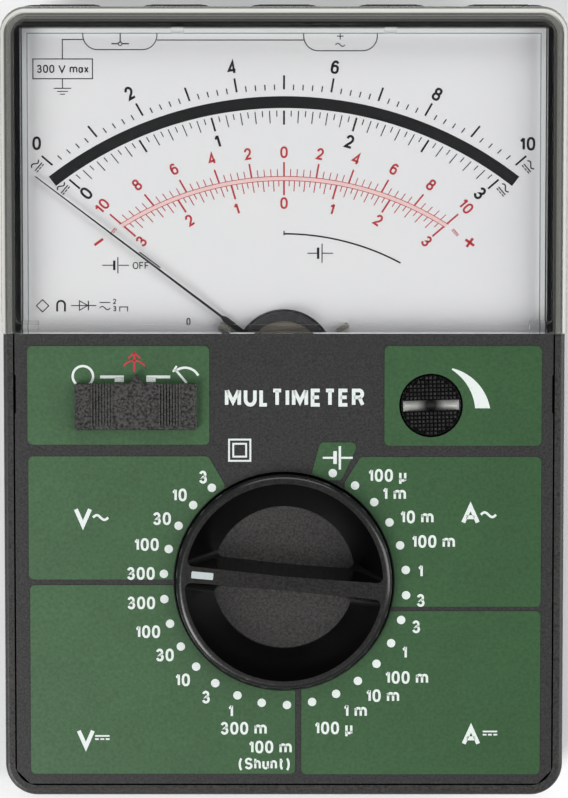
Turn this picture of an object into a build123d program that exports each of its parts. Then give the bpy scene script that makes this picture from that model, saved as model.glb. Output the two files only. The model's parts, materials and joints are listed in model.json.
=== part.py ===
from build123d import *
import os
from math import atan2, cos, degrees, radians, sin, sqrt, tan

os.makedirs("parts", exist_ok=True)

# ---------------------------------------------------------------- driving dimensions, mm
case_width = 100.0
case_length = 141.0
front_low = 21.5            # height of the front plane at the lower end
front_high = 31.5           # height of the front plane at the socket end
case_corner = 5.75
case_wall = 1.75
floor_thickness = 2.2
bottom_round = 1.5
rim_round = 0.8
land_height = 0.27          # raised lands on the socket end
land_width = 10.4
land_pitch = 19.0
scallop_radius = 12.5
scallop_depth = 0.8

panel_gap = 0.3             # groove between the rim and the front panel
panel_thickness = 2.0
panel_chamfer = 2.4
notch_depth = 0.2

cover_start = 12.2          # lower edge of the clear cover
cover_end = 69.7
cover_rise = 3.5
cover_plate = 2.0
cover_side_wall = 2.3
cover_end_wall = 2.7
cover_corner = 4.6
cover_round = 1.1
cover_break = 0.2           # broken edge along the panel

dial_half_width = 46.6
dial_start = 7.5
dial_end = 66.45
dial_depth = 4.5            # below the front plane
dial_thickness = 0.8
dial_lip = 0.75
dial_lip_height = 0.7
well_start = 6.2
well_floor = 1.5
dial_hole_radius = 9.0
dial_hole_y = 7.5

pivot_y = 6.8               # pointer pivot
pointer_rest = 53.0         # degrees left of straight up
pointer_reach = 55.5
pointer_height = -3.7

knob_y = -32.0
knob_radius = 19.3
knob_hole = 19.65
knob_top = 2.75
knob_bar_angle = 174.8
pocket_mouth_radius = 17.7
pocket_floor_radius = 12.8
pocket_depth = 8.6
bar_half_middle = 1.15
bar_half_end = 1.5
bar_draft = 1.3
pocket_corner = 1.1
flange_radius = 20.9
switch_step = 12.0
switch_positions = 26

slide_x = -26.35
slide_y = -0.65
slide_length = 21.7
slide_height = 8.3
slide_travel = 2.85

adjust_x = 26.2
adjust_y = -0.5
adjust_radius = 5.4

board_top = -9.6            # below the front plane
board_thickness = 1.6
board_bottom = board_top - board_thickness

socket_positions = (-28.5, 9.5)
socket_height = 13.5
socket_bore = 2.0
socket_face = 69.3
socket_depth = 18.0

door_left = 18.5
door_right = 46.5
door_start = 9.05
door_end = 66.45
door_gap = 0.15
door_recess = 0.25
battery_length = 48.5
battery_width = 26.5
battery_depth = 17.5
battery_start = 15.5
battery_bottom = 2.9

screw_places = ((-42.5, -63.5), (42.5, -63.5), (-9.5, 61.5))
boss_top = 12.0

# ---------------------------------------------------------------- reference planes
front_tilt = degrees(atan2(front_high - front_low, case_length))
front_normal = Vector(0, -sin(radians(front_tilt)), cos(radians(front_tilt)))
front_plane = Plane((0, 0, (front_low + front_high) / 2), x_dir=(1, 0, 0), z_dir=front_normal)


def panel_plane(height, x=0.0, y=0.0):
    """Plane parallel to the front panel, a height above its surface."""
    return Plane(front_plane.from_local_coords(Vector(x, y, height)), x_dir=(1, 0, 0), z_dir=front_normal)


def radial_plane(x, y):
    """Plane square to the front panel: local x is a radius and local y a height."""
    base = panel_plane(0, x, y)
    return Plane(base.origin, x_dir=base.x_dir, z_dir=-base.y_dir)


def panel_axis(x, y):
    """Line square to the front panel through a point of it."""
    return Axis(panel_plane(0, x, y).origin, front_normal)


def turned_plane(height, x, y, angle):
    """Panel plane turned about the panel's normal."""
    base = panel_plane(height, x, y)
    turned_x = base.x_dir * cos(radians(angle)) + base.y_dir * sin(radians(angle))
    return Plane(base.origin, x_dir=turned_x, z_dir=front_normal)


def cross_plane(height, x, y):
    """Plane facing the right side, with local x along the panel's slope."""
    base = panel_plane(height, x, y)
    return Plane(base.origin, x_dir=base.y_dir, z_dir=base.x_dir)


def smooth_route(points, wire_radius):
    """Lead along straight runs joined by the largest arcs the runs allow."""
    corners = [Vector(*point) for point in points]
    radii = []
    for before, corner, after in zip(corners, corners[1:], corners[2:]):
        turn = (corner - before).get_angle(after - corner)
        shorter = min((corner - before).length, (after - corner).length)
        radii.append(0.45 * shorter / tan(radians(turn) / 2))
    print("lead bend radii", [round(radius, 1) for radius in radii])
    with BuildPart() as lead:
        with BuildLine() as route:
            FilletPolyline(*corners, radius=radii)
        with BuildSketch(Plane(origin=route.line @ 0, z_dir=route.line % 0)):
            Circle(wire_radius)
        sweep(path=route.line)
    return lead.part


# ---------------------------------------------------------------- rear case
panel_half = case_width / 2 - case_wall - panel_gap
wall_end = case_length / 2 - land_height
case_middle = (wall_end - case_length / 2) / 2
case_depth = wall_end + case_length / 2
inner_width = case_width - 2 * case_wall
inner_depth = case_depth - 2 * case_wall
panel_low = -case_length / 2 + case_wall + panel_gap
panel_high = wall_end - case_wall - panel_gap

with BuildPart() as cover_seat:
    with BuildSketch(Plane.XY.offset(15)):
        with Locations((0, case_middle)):
            RectangleRounded(case_width, case_depth, case_corner)
        with Locations((0, cover_start + case_length / 2)):
            Rectangle(case_width, case_length, mode=Mode.INTERSECT)
    extrude(amount=30)
    split(bisect_by=panel_plane(0), keep=Keep.BOTTOM)

with BuildPart() as low_ribs:
    with BuildSketch(Plane.XY.offset(1)):
        with GridLocations(inner_width - 1.4, 38, 2, 2):
            with Locations((0, -29)):
                Rectangle(1.6, 4)
    extrude(amount=30)
    split(bisect_by=panel_plane(-panel_thickness - 0.05), keep=Keep.BOTTOM)

well_underside = -(dial_depth + dial_thickness + well_floor)
with BuildPart() as high_ribs:
    with BuildSketch(Plane.XY.offset(1)):
        with GridLocations(inner_width - 1.0, 28, 2, 2):
            with Locations((0, 36)):
                Rectangle(1.2, 4)
    extrude(amount=35)
    split(bisect_by=panel_plane(well_underside - 0.05), keep=Keep.BOTTOM)

with BuildPart() as rear_case:
    with BuildSketch():
        with Locations((0, case_middle)):
            RectangleRounded(case_width, case_depth, case_corner)
    extrude(amount=45)
    split(bisect_by=panel_plane(0), keep=Keep.BOTTOM)
    fillet(rear_case.faces().sort_by(Axis.Z)[0].edges(), bottom_round)
    fillet(rear_case.faces().sort_by(Axis.Z)[-1].edges(), rim_round)
    add(cover_seat.part)
    with BuildSketch(Plane.XY.offset(4)):                      # lands on the socket end
        with Locations((0, wall_end)):
            with GridLocations(land_pitch, 0, 5, 1):
                Rectangle(land_width, 2 * land_height)
    extrude(amount=front_high - 5.5)
    with BuildSketch():                                        # scallops between the lands
        for scallop_x in (-28.5, -9.5, 9.5, 28.5):
            with Locations((scallop_x, wall_end + scallop_radius - scallop_depth)):
                Circle(scallop_radius)
    extrude(amount=45, mode=Mode.SUBTRACT)
    with BuildSketch(Plane.XY.offset(floor_thickness)):
        with Locations((0, case_middle)):
            RectangleRounded(inner_width, inner_depth, case_corner - case_wall)
    extrude(amount=45, mode=Mode.SUBTRACT)
    add(low_ribs.part)
    add(high_ribs.part)
    with BuildSketch(Plane.XY.offset(floor_thickness - 0.5)):  # thick pads behind the sockets
        for socket_x in socket_positions:
            with Locations((socket_x, wall_end - case_wall - 0.4)):
                Rectangle(16, 2.4)
    extrude(amount=20)
    with BuildSketch(Plane.XY.offset(floor_thickness - 0.5)):  # screw bosses
        with Locations(*screw_places):
            Circle(4.2)
    extrude(amount=boss_top - floor_thickness + 0.5)
    with BuildSketch(Plane.XY.offset(floor_thickness - 0.5)):  # battery compartment ribs
        with Locations((door_left - 1.2, 36)):
            Rectangle(1.0, 60)
        with Locations((32.5, 5.7)):
            Rectangle(29.5, 1.0)
    extrude(amount=7)
    with BuildSketch():
        with Locations(((door_left + door_right) / 2, (door_start + door_end) / 2)):
            Rectangle(door_right - door_left + 2 * door_gap + 0.1, door_end - door_start + 2 * door_gap)
    extrude(amount=floor_thickness, mode=Mode.SUBTRACT)
    with BuildSketch():
        with Locations(*screw_places):
            Circle(1.7)
    extrude(amount=boss_top + 1, mode=Mode.SUBTRACT)
    with BuildSketch():
        with Locations(*screw_places):
            Circle(3.2)
    extrude(amount=4.5, mode=Mode.SUBTRACT)
    with BuildSketch(Plane.XZ.offset(-case_length / 2 - 1)):   # socket holes
        for socket_x in socket_positions:
            with Locations((socket_x, socket_height)):
                Circle(5.5)
    extrude(amount=6, mode=Mode.SUBTRACT)
    with BuildSketch(Plane.XZ.offset(-case_length / 2 - 1)):   # seats of the socket flanges
        for socket_x in socket_positions:
            with Locations((socket_x, socket_height)):
                Circle(6.5)
    extrude(amount=case_length / 2 + 1 - socket_face + 0.9, mode=Mode.SUBTRACT)

rear_case.part.label = "rear_case"
export_step(rear_case.part, "parts/rear_case.step")

# ---------------------------------------------------------------- front panel
board_posts = ((-41.0, -52.0), (41.0, -52.0), (-41.5, -4.0), (41.5, -4.0))
frame_posts = ((-14.0, pivot_y - 13.5), (14.0, pivot_y - 13.5))
slot_length = 7.0 + 2 * slide_travel + 0.8
slot_width = 4.6
adjust_hole = adjust_radius + 0.25

with BuildPart() as panel_well:
    with BuildSketch(Plane.XY.offset(10)):
        with Locations((0, (well_start + panel_high) / 2)):
            Rectangle(2 * panel_half, panel_high - well_start)
    extrude(amount=35)
    chamfer(panel_well.edges().filter_by(Axis.Z).sort_by(Axis.Y)[-2:], panel_chamfer)
    split(bisect_by=panel_plane(-0.5), keep=Keep.BOTTOM)
    split(bisect_by=panel_plane(well_underside), keep=Keep.TOP)

with BuildPart() as panel_posts:
    with BuildSketch(Plane.XY.offset(boss_top + 0.05)):
        with Locations(*screw_places):
            Circle(3.4)
    extrude(amount=25)
    split(bisect_by=panel_plane(-panel_thickness / 2), keep=Keep.BOTTOM)

with BuildPart() as front_panel:
    with BuildSketch(Plane.XY.offset(10)):
        with Locations((0, (panel_low + panel_high) / 2)):
            Rectangle(2 * panel_half, panel_high - panel_low)
    extrude(amount=35)
    chamfer(front_panel.edges().filter_by(Axis.Z), panel_chamfer)
    split(bisect_by=panel_plane(0), keep=Keep.BOTTOM)
    split(bisect_by=panel_plane(-panel_thickness), keep=Keep.TOP)
    fillet(front_panel.faces().sort_by(Axis.Z)[-1].edges(), 0.25)
    add(panel_well.part)
    add(panel_posts.part)
    with BuildSketch(panel_plane(-panel_thickness / 2)):
        with Locations(*board_posts):
            Circle(2.6)
    extrude(amount=board_top + panel_thickness / 2 + 0.02)
    with BuildSketch(panel_plane(-panel_thickness / 2)):
        with Locations(*frame_posts):
            Circle(2.2)
    extrude(amount=well_underside + panel_thickness / 2)
    with BuildSketch(panel_plane(-dial_depth - dial_thickness)):        # dial well
        with Locations((0, (dial_start + dial_end) / 2)):
            Rectangle(2 * dial_half_width + 0.2, dial_end - dial_start + 0.2)
    extrude(amount=dial_depth + dial_thickness - panel_thickness, mode=Mode.SUBTRACT)
    with BuildSketch(panel_plane(-panel_thickness - 0.01)):             # window under the clear cover
        with Locations((0, (cover_start + 0.3 + dial_end) / 2)):
            Rectangle(2 * dial_half_width + 0.2, dial_end - cover_start - 0.2)
    extrude(amount=panel_thickness + 1, mode=Mode.SUBTRACT)
    with BuildSketch(panel_plane(well_underside - 1)):                  # movement opening
        with Locations((0, dial_hole_y)):
            Circle(dial_hole_radius + 0.3)
    extrude(amount=-well_underside + 1 - panel_thickness, mode=Mode.SUBTRACT)
    with BuildSketch(panel_plane(-panel_thickness - 1)):
        with Locations((0, knob_y)):
            Circle(knob_hole)
        with Locations((adjust_x, adjust_y)):
            Circle(adjust_hole)
        with Locations((slide_x, slide_y)):
            Rectangle(slot_length, slot_width)
    extrude(amount=panel_thickness + 2, mode=Mode.SUBTRACT)
    with BuildSketch(panel_plane(-1.2)):                                # pry notches
        with Locations((-panel_half, 1.5), (panel_half, 1.5)):
            Rectangle(2 * notch_depth, 6.8)
    extrude(amount=2, mode=Mode.SUBTRACT)
    with BuildSketch(Plane.XY.offset(boss_top - 1)):
        with Locations(*screw_places):
            Circle(1.3)
    extrude(amount=7, mode=Mode.SUBTRACT)
    with BuildSketch(panel_plane(board_top - 1)):
        with Locations(*board_posts):
            Circle(0.9)
    extrude(amount=7, mode=Mode.SUBTRACT)
    with BuildSketch(panel_plane(well_underside - 1)):
        with Locations(*frame_posts):
            Circle(0.8)
    extrude(amount=4, mode=Mode.SUBTRACT)

front_panel.part.label = "front_panel"
export_step(front_panel.part, "parts/front_panel.step")

# ---------------------------------------------------------------- green printed films
label_circle = knob_hole + 0.15
label_corner = 0.9
field_outlines = (
    ((-45.7, -7.5), (-13.3, -7.5), (-13.3, 10.1), (-45.7, 10.1)),
    ((17.9, -7.7), (45.9, -7.7), (45.9, 10.1), (17.9, 10.1)),
    ((-45.6, -9.6), (-13.5, -9.6), (-10.6, -14.6), (-10.6, -31.7), (-45.6, -31.7)),
    ((-45.4, -32.7), (2.0, -32.7), (2.0, -66.8), (-45.4, -66.8)),
    ((3.1, -37.4), (45.9, -37.4), (45.9, -66.9), (3.1, -66.9)),
    ((13.7, -9.7), (45.9, -9.7), (45.9, -36.6), (10.8, -36.6), (10.8, -14.3)),
    ((6.45, -7.1), (13.4, -7.1), (10.2, -13.9), (4.6, -13.9)),
)
with BuildPart() as panel_label:
    with BuildSketch(panel_plane(0.01)):
        for outline in field_outlines:
            with BuildLine():
                FilletPolyline(*outline, radius=label_corner, close=True)
            make_face()
        with Locations((0, knob_y)):
            Circle(label_circle, mode=Mode.SUBTRACT)
        with Locations((adjust_x, adjust_y)):
            Circle(adjust_hole + 0.05, mode=Mode.SUBTRACT)
        with Locations((slide_x, slide_y)):
            Rectangle(slot_length + 0.2, slot_width + 0.2, mode=Mode.SUBTRACT)
    extrude(amount=0.12)

panel_label.part.label = "panel_label"
export_step(panel_label.part, "parts/panel_label.step")

# ---------------------------------------------------------------- clear cover
with BuildPart() as cover_block:
    with BuildSketch(Plane.XY.offset(15)):
        with Locations((0, (cover_start + cover_end) / 2)):
            Rectangle(case_width, cover_end - cover_start)
    extrude(amount=35)
    fillet(cover_block.edges().filter_by(Axis.Z).sort_by(Axis.Y)[-2:], cover_corner)
    split(bisect_by=panel_plane(cover_rise), keep=Keep.BOTTOM)
    split(bisect_by=panel_plane(0.02), keep=Keep.TOP)
    fillet(cover_block.faces().sort_by(Axis.Z)[-1].edges().sort_by(Axis.Y)[1:], cover_round)
    chamfer(cover_block.faces().sort_by(Axis.Y)[0].edges().sort_by(Axis.Z)[-1], cover_break)

cover_inner_low = cover_start + 1.8
cover_inner_high = cover_end - cover_end_wall
with BuildPart() as meter_cover:
    add(cover_block.part)
    with BuildSketch(panel_plane(-1)):
        with Locations((0, (cover_inner_low + cover_inner_high) / 2)):
            RectangleRounded(case_width - 2 * cover_side_wall, cover_inner_high - cover_inner_low, 1.5)
    extrude(amount=1 + cover_rise - cover_plate, mode=Mode.SUBTRACT)
    with BuildSketch(panel_plane(0.5)):                                 # lugs that locate in the dial well
        with Locations((-45.2, cover_start + 1.6), (45.2, cover_start + 1.6)):
            Rectangle(3.0, 1.6)
        with Locations((-18.8, dial_end - 0.5), (18.8, dial_end - 0.5)):
            Rectangle(2.2, 1.0)
    extrude(amount=-2.6)
    with BuildSketch(panel_plane(0.5)):
        with Locations((-18.8, dial_end), (18.8, dial_end)):
            Rectangle(2.2, 1.4)
    extrude(amount=1.5)

meter_cover.part.label = "meter_cover"
export_step(meter_cover.part, "parts/meter_cover.step")

# ---------------------------------------------------------------- dial plate and stops
with BuildPart() as dial_plate:
    with BuildSketch(panel_plane(-dial_depth - dial_thickness + 0.02)):
        with Locations((0, (dial_start + dial_end) / 2)):
            Rectangle(2 * dial_half_width, dial_end - dial_start)
        with Locations((0, dial_hole_y)):
            Circle(dial_hole_radius, mode=Mode.SUBTRACT)
    extrude(amount=dial_thickness)
    with BuildSketch(panel_plane(-dial_depth)):                         # raised lip on three sides
        with Locations((0, (dial_start + dial_end) / 2)):
            Rectangle(2 * dial_half_width, dial_end - dial_start)
        with Locations((0, (dial_start + dial_end) / 2 - dial_lip)):
            Rectangle(2 * (dial_half_width - dial_lip), dial_end - dial_start, mode=Mode.SUBTRACT)
    extrude(amount=dial_lip_height)

dial_plate.part.label = "dial_plate"
export_step(dial_plate.part, "parts/dial_plate.step")

stop_radius = 12.3
stop_angle = pointer_rest + 5.6
with BuildPart() as pointer_stops:
    for side in (-1, 1):
        stop_x = side * stop_radius * sin(radians(stop_angle))
        stop_y = pivot_y + stop_radius * cos(radians(stop_angle))
        with BuildSketch(turned_plane(-dial_depth + 0.05, stop_x, stop_y, -side * stop_angle)):
            RectangleRounded(0.9, 2.4, 0.3)
        extrude(amount=1.5)

pointer_stops.part.label = "pointer_stops"
export_step(pointer_stops.part, "parts/pointer_stops.step")

# ---------------------------------------------------------------- battery door, foam, battery
door_middle = (door_left + door_right) / 2
with BuildPart() as battery_cover:
    with BuildSketch(Plane.XY.offset(door_recess)):
        with Locations((door_middle, (door_start + door_end) / 2)):
            RectangleRounded(door_right - door_left, door_end - door_start, 0.4)
    extrude(amount=floor_thickness - door_recess)
    with BuildSketch(Plane.XY.offset(floor_thickness - 0.01)):          # roots of the hooks
        with Locations((door_middle - 9, door_start + 0.6), (door_middle + 9, door_start + 0.6)):
            Rectangle(5, 1.2)
        with Locations((door_middle, door_end - 1.2)):                  # latch leaf
            Rectangle(7, 0.9)
    extrude(amount=1.2)
    with BuildSketch(Plane.XY.offset(floor_thickness + 0.15)):          # hooks over the case floor
        with Locations((door_middle - 9, door_start - 0.9), (door_middle + 9, door_start - 0.9)):
            Rectangle(5, 3.0)
    extrude(amount=1.0)
    with BuildSketch(Plane.XY.offset(floor_thickness)):
        with Locations((door_middle, door_end - 1.2)):
            Rectangle(7, 0.9)
    extrude(amount=3.4)
    with BuildSketch(Plane.XY.offset(door_recess)):                     # grip grooves
        with Locations((door_middle, door_end - 7)):
            with GridLocations(0, 1.6, 1, 5):
                SlotOverall(14, 0.8)
    extrude(amount=0.5, mode=Mode.SUBTRACT)

battery_cover.part.label = "battery_cover"
export_step(battery_cover.part, "parts/battery_cover.step")

battery_middle = battery_start + battery_length / 2
with BuildPart() as battery_foam:
    with BuildSketch(Plane.XY.offset(floor_thickness + 0.01)):
        with Locations((door_middle, battery_middle)):
            RectangleRounded(20, 40, 1)
    extrude(amount=battery_bottom - floor_thickness - 0.03)

battery_foam.part.label = "battery_foam"
export_step(battery_foam.part, "parts/battery_foam.step")

battery_centre_z = battery_bottom + battery_depth / 2
with BuildPart() as battery:
    with BuildSketch(Plane.XZ.offset(-battery_start)):
        with Locations((door_middle, battery_centre_z)):
            RectangleRounded(battery_width, battery_depth, 2.0)
    extrude(amount=-battery_length)
    chamfer(battery.faces().sort_by(Axis.Y)[0].edges(), 0.4)
    with BuildSketch(Plane.XZ.offset(-battery_start + 2.6)):            # terminal studs
        with Locations((door_middle - 6.35, battery_centre_z)):
            Circle(2.9)
        with Locations((door_middle + 6.35, battery_centre_z)):
            RegularPolygon(4.2, 6)
    extrude(amount=-2.8)

battery.part.label = "battery"
export_step(battery.part, "parts/battery.step")

snap_face = battery_start - 2.9
with BuildPart() as battery_snap:
    with BuildSketch(Plane.XZ.offset(-snap_face + 0.05)):
        with Locations((door_middle, battery_centre_z)):
            RectangleRounded(25.0, 12.0, 2.5)
    extrude(amount=2.4)
    fillet(battery_snap.faces().sort_by(Axis.Y)[0].edges(), 0.6)

battery_snap.part.label = "battery_snap"
export_step(battery_snap.part, "parts/battery_snap.step")

# ---------------------------------------------------------------- case screws
with BuildPart() as case_screws:
    with BuildSketch(Plane.XY.offset(1.9)):
        with Locations(*screw_places):
            Circle(2.9)
    extrude(amount=2.5)
    with BuildSketch(Plane.XY.offset(4.3)):
        with Locations(*screw_places):
            Circle(1.28)
    extrude(amount=boss_top)
    with BuildSketch(Plane.XY.offset(1.9)):
        with Locations(*screw_places):
            Rectangle(3.2, 0.8)
            Rectangle(0.8, 3.2)
    extrude(amount=1.4, mode=Mode.SUBTRACT)

case_screws.part.label = "case_screws"
export_step(case_screws.part, "parts/case_screws.step")

# ---------------------------------------------------------------- sockets
with BuildPart() as socket_insulators:
    for socket_x in socket_positions:
        with BuildSketch(Plane.YZ.offset(socket_x)):
            with BuildLine():
                Polyline(
                    (socket_face, socket_height + 2.85),
                    (socket_face, socket_height + 6.4),
                    (socket_face - 0.85, socket_height + 6.4),
                    (socket_face - 0.85, socket_height + 5.4),
                    (socket_face - socket_depth + 2, socket_height + 5.4),
                    (socket_face - socket_depth + 2, socket_height + 2.85),
                    close=True,
                )
            make_face()
        revolve(axis=Axis((socket_x, 0, socket_height), (0, 1, 0)))

socket_insulators.part.label = "socket_insulators"
export_step(socket_insulators.part, "parts/socket_insulators.step")

nut_face = wall_end - case_wall - 1.62
with BuildPart() as socket_nuts:
    with BuildSketch(Plane.XZ.offset(-nut_face)):
        for socket_x in socket_positions:
            with Locations((socket_x, socket_height)):
                RegularPolygon(8.0, 6)
                Circle(5.42, mode=Mode.SUBTRACT)
    extrude(amount=2.6)

socket_nuts.part.label = "socket_nuts"
export_step(socket_nuts.part, "parts/socket_nuts.step")

with BuildPart() as socket_contacts:
    for socket_x in socket_positions:
        with BuildSketch(Plane.YZ.offset(socket_x)):
            with BuildLine():
                Polyline(
                    (socket_face - 0.1, socket_height + socket_bore),
                    (socket_face - 0.1, socket_height + 2.84),
                    (socket_face - socket_depth - 1.2, socket_height + 2.84),
                    (socket_face - socket_depth - 1.2, socket_height + 0.9),
                    (socket_face - socket_depth - 4.0, socket_height + 0.9),
                    (socket_face - socket_depth - 4.0, socket_height),
                    (socket_face - socket_depth, socket_height),
                    (socket_face - socket_depth, socket_height + socket_bore),
                    close=True,
                )
            make_face()
        revolve(axis=Axis((socket_x, 0, socket_height), (0, 1, 0)))

socket_contacts.part.label = "socket_contacts"
export_step(socket_contacts.part, "parts/socket_contacts.step")

# ---------------------------------------------------------------- circuit board
with BuildPart() as circuit_board:
    with BuildSketch(panel_plane(board_bottom)):
        with Locations((0, -29.0)):
            RectangleRounded(91, 75, 2)
        with Locations((0, 8.0)):
            Rectangle(37, 41, mode=Mode.SUBTRACT)
        with Locations((-42.5, -63.5), (42.5, -63.5)):
            Circle(5.4, mode=Mode.SUBTRACT)
        with Locations(*board_posts):
            Circle(1.3, mode=Mode.SUBTRACT)
        with Locations((0, knob_y)):
            Circle(2.0, mode=Mode.SUBTRACT)
        with Locations((adjust_x, adjust_y)):
            with GridLocations(5.0, 5.0, 2, 2):
                Circle(0.45, mode=Mode.SUBTRACT)
        with Locations((slide_x, slide_y)):
            with GridLocations(2.8, 5.0, 6, 2):
                Rectangle(0.9, 0.5, mode=Mode.SUBTRACT)
    extrude(amount=board_thickness)

circuit_board.part.label = "circuit_board"
export_step(circuit_board.part, "parts/circuit_board.step")

with BuildPart() as board_screws:
    with BuildSketch(panel_plane(board_bottom - 0.02)):
        with Locations(*board_posts):
            Circle(2.2)
    extrude(amount=-1.6)
    with BuildSketch(panel_plane(board_bottom - 0.5)):
        with Locations(*board_posts):
            Circle(0.88)
    extrude(amount=5.5)
    with BuildSketch(panel_plane(board_bottom - 1.62)):
        with Locations(*board_posts):
            Rectangle(2.6, 0.6)
            Rectangle(0.6, 2.6)
    extrude(amount=0.9, mode=Mode.SUBTRACT)

board_screws.part.label = "board_screws"
export_step(board_screws.part, "parts/board_screws.step")

with BuildPart() as switch_contacts:
    with BuildSketch(panel_plane(board_top + 0.01, 0, knob_y)):
        with PolarLocations(14.6, switch_positions, start_angle=126.8, angular_range=switch_step * 26):
            RectangleRounded(3.0, 1.7, 0.4)
        for ring_radius in (11.6, 8.4):
            Circle(ring_radius)
            Circle(ring_radius - 1.8, mode=Mode.SUBTRACT)
    extrude(amount=0.08)

switch_contacts.part.label = "switch_contacts"
export_step(switch_contacts.part, "parts/switch_contacts.step")

# ---------------------------------------------------------------- range knob
knob_floor = knob_top - pocket_depth
knob_bottom = -7.1
bar_reach = 17.9


def is_pocket_corner(edge):
    """Slanting edges between the bar and the pocket walls."""
    middle = panel_plane(0, 0, knob_y).to_local_coords(edge @ 0.5)
    radius = sqrt(middle.X**2 + middle.Y**2)
    halfway = (knob_top + knob_floor) / 2
    return abs(middle.Z - halfway) < 1.5 and radius < knob_radius - 1.5


def is_outer_rim(edge):
    """Outer edge of the knob's front."""
    start = panel_plane(0, 0, knob_y).to_local_coords(edge @ 0)
    return abs(start.Z - knob_top) < 0.01 and sqrt(start.X**2 + start.Y**2) > knob_radius - 0.05



with BuildPart() as range_knob:
    with BuildSketch(radial_plane(0, knob_y)):
        with BuildLine():
            Polyline(
                (0, knob_bottom),
                (17.0, knob_bottom),
                (18.6, -5.4),
                (flange_radius, -5.4),
                (flange_radius, -panel_thickness - 0.3),
                (knob_radius, -panel_thickness - 0.3),
                (knob_radius, knob_top),
                (pocket_mouth_radius, knob_top),
                (pocket_floor_radius, knob_floor),
                (0, knob_floor),
                close=True,
            )
        make_face()
    revolve(axis=panel_axis(0, knob_y))
    with BuildSketch(turned_plane(knob_top, 0, knob_y, knob_bar_angle)):        # bar between the pockets
        with BuildLine():
            Polyline(
                (-bar_reach, bar_half_end),
                (0, bar_half_middle),
                (bar_reach, bar_half_end),
                (bar_reach, -bar_half_end),
                (0, -bar_half_middle),
                (-bar_reach, -bar_half_end),
                close=True,
            )
        make_face()
    extrude(amount=-pocket_depth - 0.2, taper=-degrees(atan2(bar_draft, pocket_depth)))
    fillet(range_knob.edges().filter_by(is_pocket_corner), pocket_corner)
    fillet(range_knob.edges().filter_by(is_outer_rim), 1.1)
    for end_angle in (0, 180):                                          # bores of the detent springs
        bore_plane = turned_plane(-3.85, 0, knob_y, knob_bar_angle + end_angle)
        bore_start = bore_plane.from_local_coords(Vector(15.4, 0, 0))
        with BuildSketch(Plane(bore_start, x_dir=bore_plane.z_dir, z_dir=bore_plane.x_dir)):
            Circle(1.3)
        extrude(amount=8, mode=Mode.SUBTRACT)
    with BuildSketch(turned_plane(knob_top - 0.3, 0, knob_y, knob_bar_angle)):  # seat of the marker
        with Locations((14.6, 0)):
            Rectangle(4.0, 1.35)
    extrude(amount=1, mode=Mode.SUBTRACT)
    with BuildSketch(turned_plane(knob_bottom - 0.1, 0, knob_y, knob_bar_angle)):
        with Locations((6, 0), (-6, 0)):
            Circle(0.85)
    extrude(amount=5, mode=Mode.SUBTRACT)

range_knob.part.label = "range_knob"
export_step(range_knob.part, "parts/range_knob.step")

with BuildPart() as knob_marker:
    with BuildSketch(turned_plane(knob_top - 0.29, 0, knob_y, knob_bar_angle)):
        with Locations((14.6, 0)):
            RectangleRounded(3.9, 1.25, 0.2)
    extrude(amount=0.34)

knob_marker.part.label = "knob_marker"
export_step(knob_marker.part, "parts/knob_marker.step")

with BuildPart() as switch_rotor:
    with BuildSketch(turned_plane(knob_bottom - 0.02, 0, knob_y, knob_bar_angle)):
        Circle(17.2)
        with Locations((6, 0), (-6, 0)):
            Circle(1.0, mode=Mode.SUBTRACT)
    extrude(amount=-1.1)

switch_rotor.part.label = "switch_rotor"
export_step(switch_rotor.part, "parts/switch_rotor.step")

rotor_underside = knob_bottom - 1.12
with BuildPart() as rotor_screws:
    with BuildSketch(turned_plane(rotor_underside - 0.02, 0, knob_y, knob_bar_angle)):
        with Locations((6, 0), (-6, 0)):
            Circle(1.7)
    extrude(amount=-0.8)
    with BuildSketch(turned_plane(rotor_underside - 0.3, 0, knob_y, knob_bar_angle)):
        with Locations((6, 0), (-6, 0)):
            Circle(0.83)
    extrude(amount=4.6)
    with BuildSketch(turned_plane(rotor_underside - 0.82, 0, knob_y, knob_bar_angle)):
        with Locations((6, 0), (-6, 0)):
            Rectangle(2.4, 0.5)
    extrude(amount=0.4, mode=Mode.SUBTRACT)

rotor_screws.part.label = "rotor_screws"
export_step(rotor_screws.part, "parts/rotor_screws.step")

with BuildPart() as wiper_springs:
    for wiper_angle in (0, 60, 240):
        spring_plane = turned_plane(rotor_underside, 0, knob_y, knob_bar_angle + wiper_angle)
        side_plane = Plane(spring_plane.origin, x_dir=spring_plane.x_dir, z_dir=-spring_plane.y_dir)
        with BuildSketch(side_plane):
            with BuildLine():
                Polyline(
                    (9.0, -0.03),
                    (11.2, -0.03),
                    (14.6, -1.02),
                    (16.0, -0.5),
                    (16.0, -0.7),
                    (14.6, -1.24),
                    (11.0, -0.25),
                    (9.0, -0.25),
                    close=True,
                )
            make_face()
        extrude(amount=0.6, both=True)

wiper_springs.part.label = "wiper_springs"
export_step(wiper_springs.part, "parts/wiper_springs.step")

with BuildPart() as detent_ring:
    with BuildSketch(panel_plane(-panel_thickness - 0.02, 0, knob_y)):
        Circle(24.3)
        Circle(22.3, mode=Mode.SUBTRACT)
        with PolarLocations(21.75, 30, start_angle=knob_bar_angle, angular_range=360):
            Circle(1.3, mode=Mode.SUBTRACT)
    extrude(amount=-3.3)

detent_ring.part.label = "detent_ring"
export_step(detent_ring.part, "parts/detent_ring.step")

with BuildPart() as detent_balls:
    for end_angle in (0, 180):
        ball_place = turned_plane(-3.85, 0, knob_y, knob_bar_angle + end_angle).from_local_coords(Vector(20.95, 0, 0))
        with Locations(ball_place):
            Sphere(1.2)

detent_balls.part.label = "detent_balls"
export_step(detent_balls.part, "parts/detent_balls.step")

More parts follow.
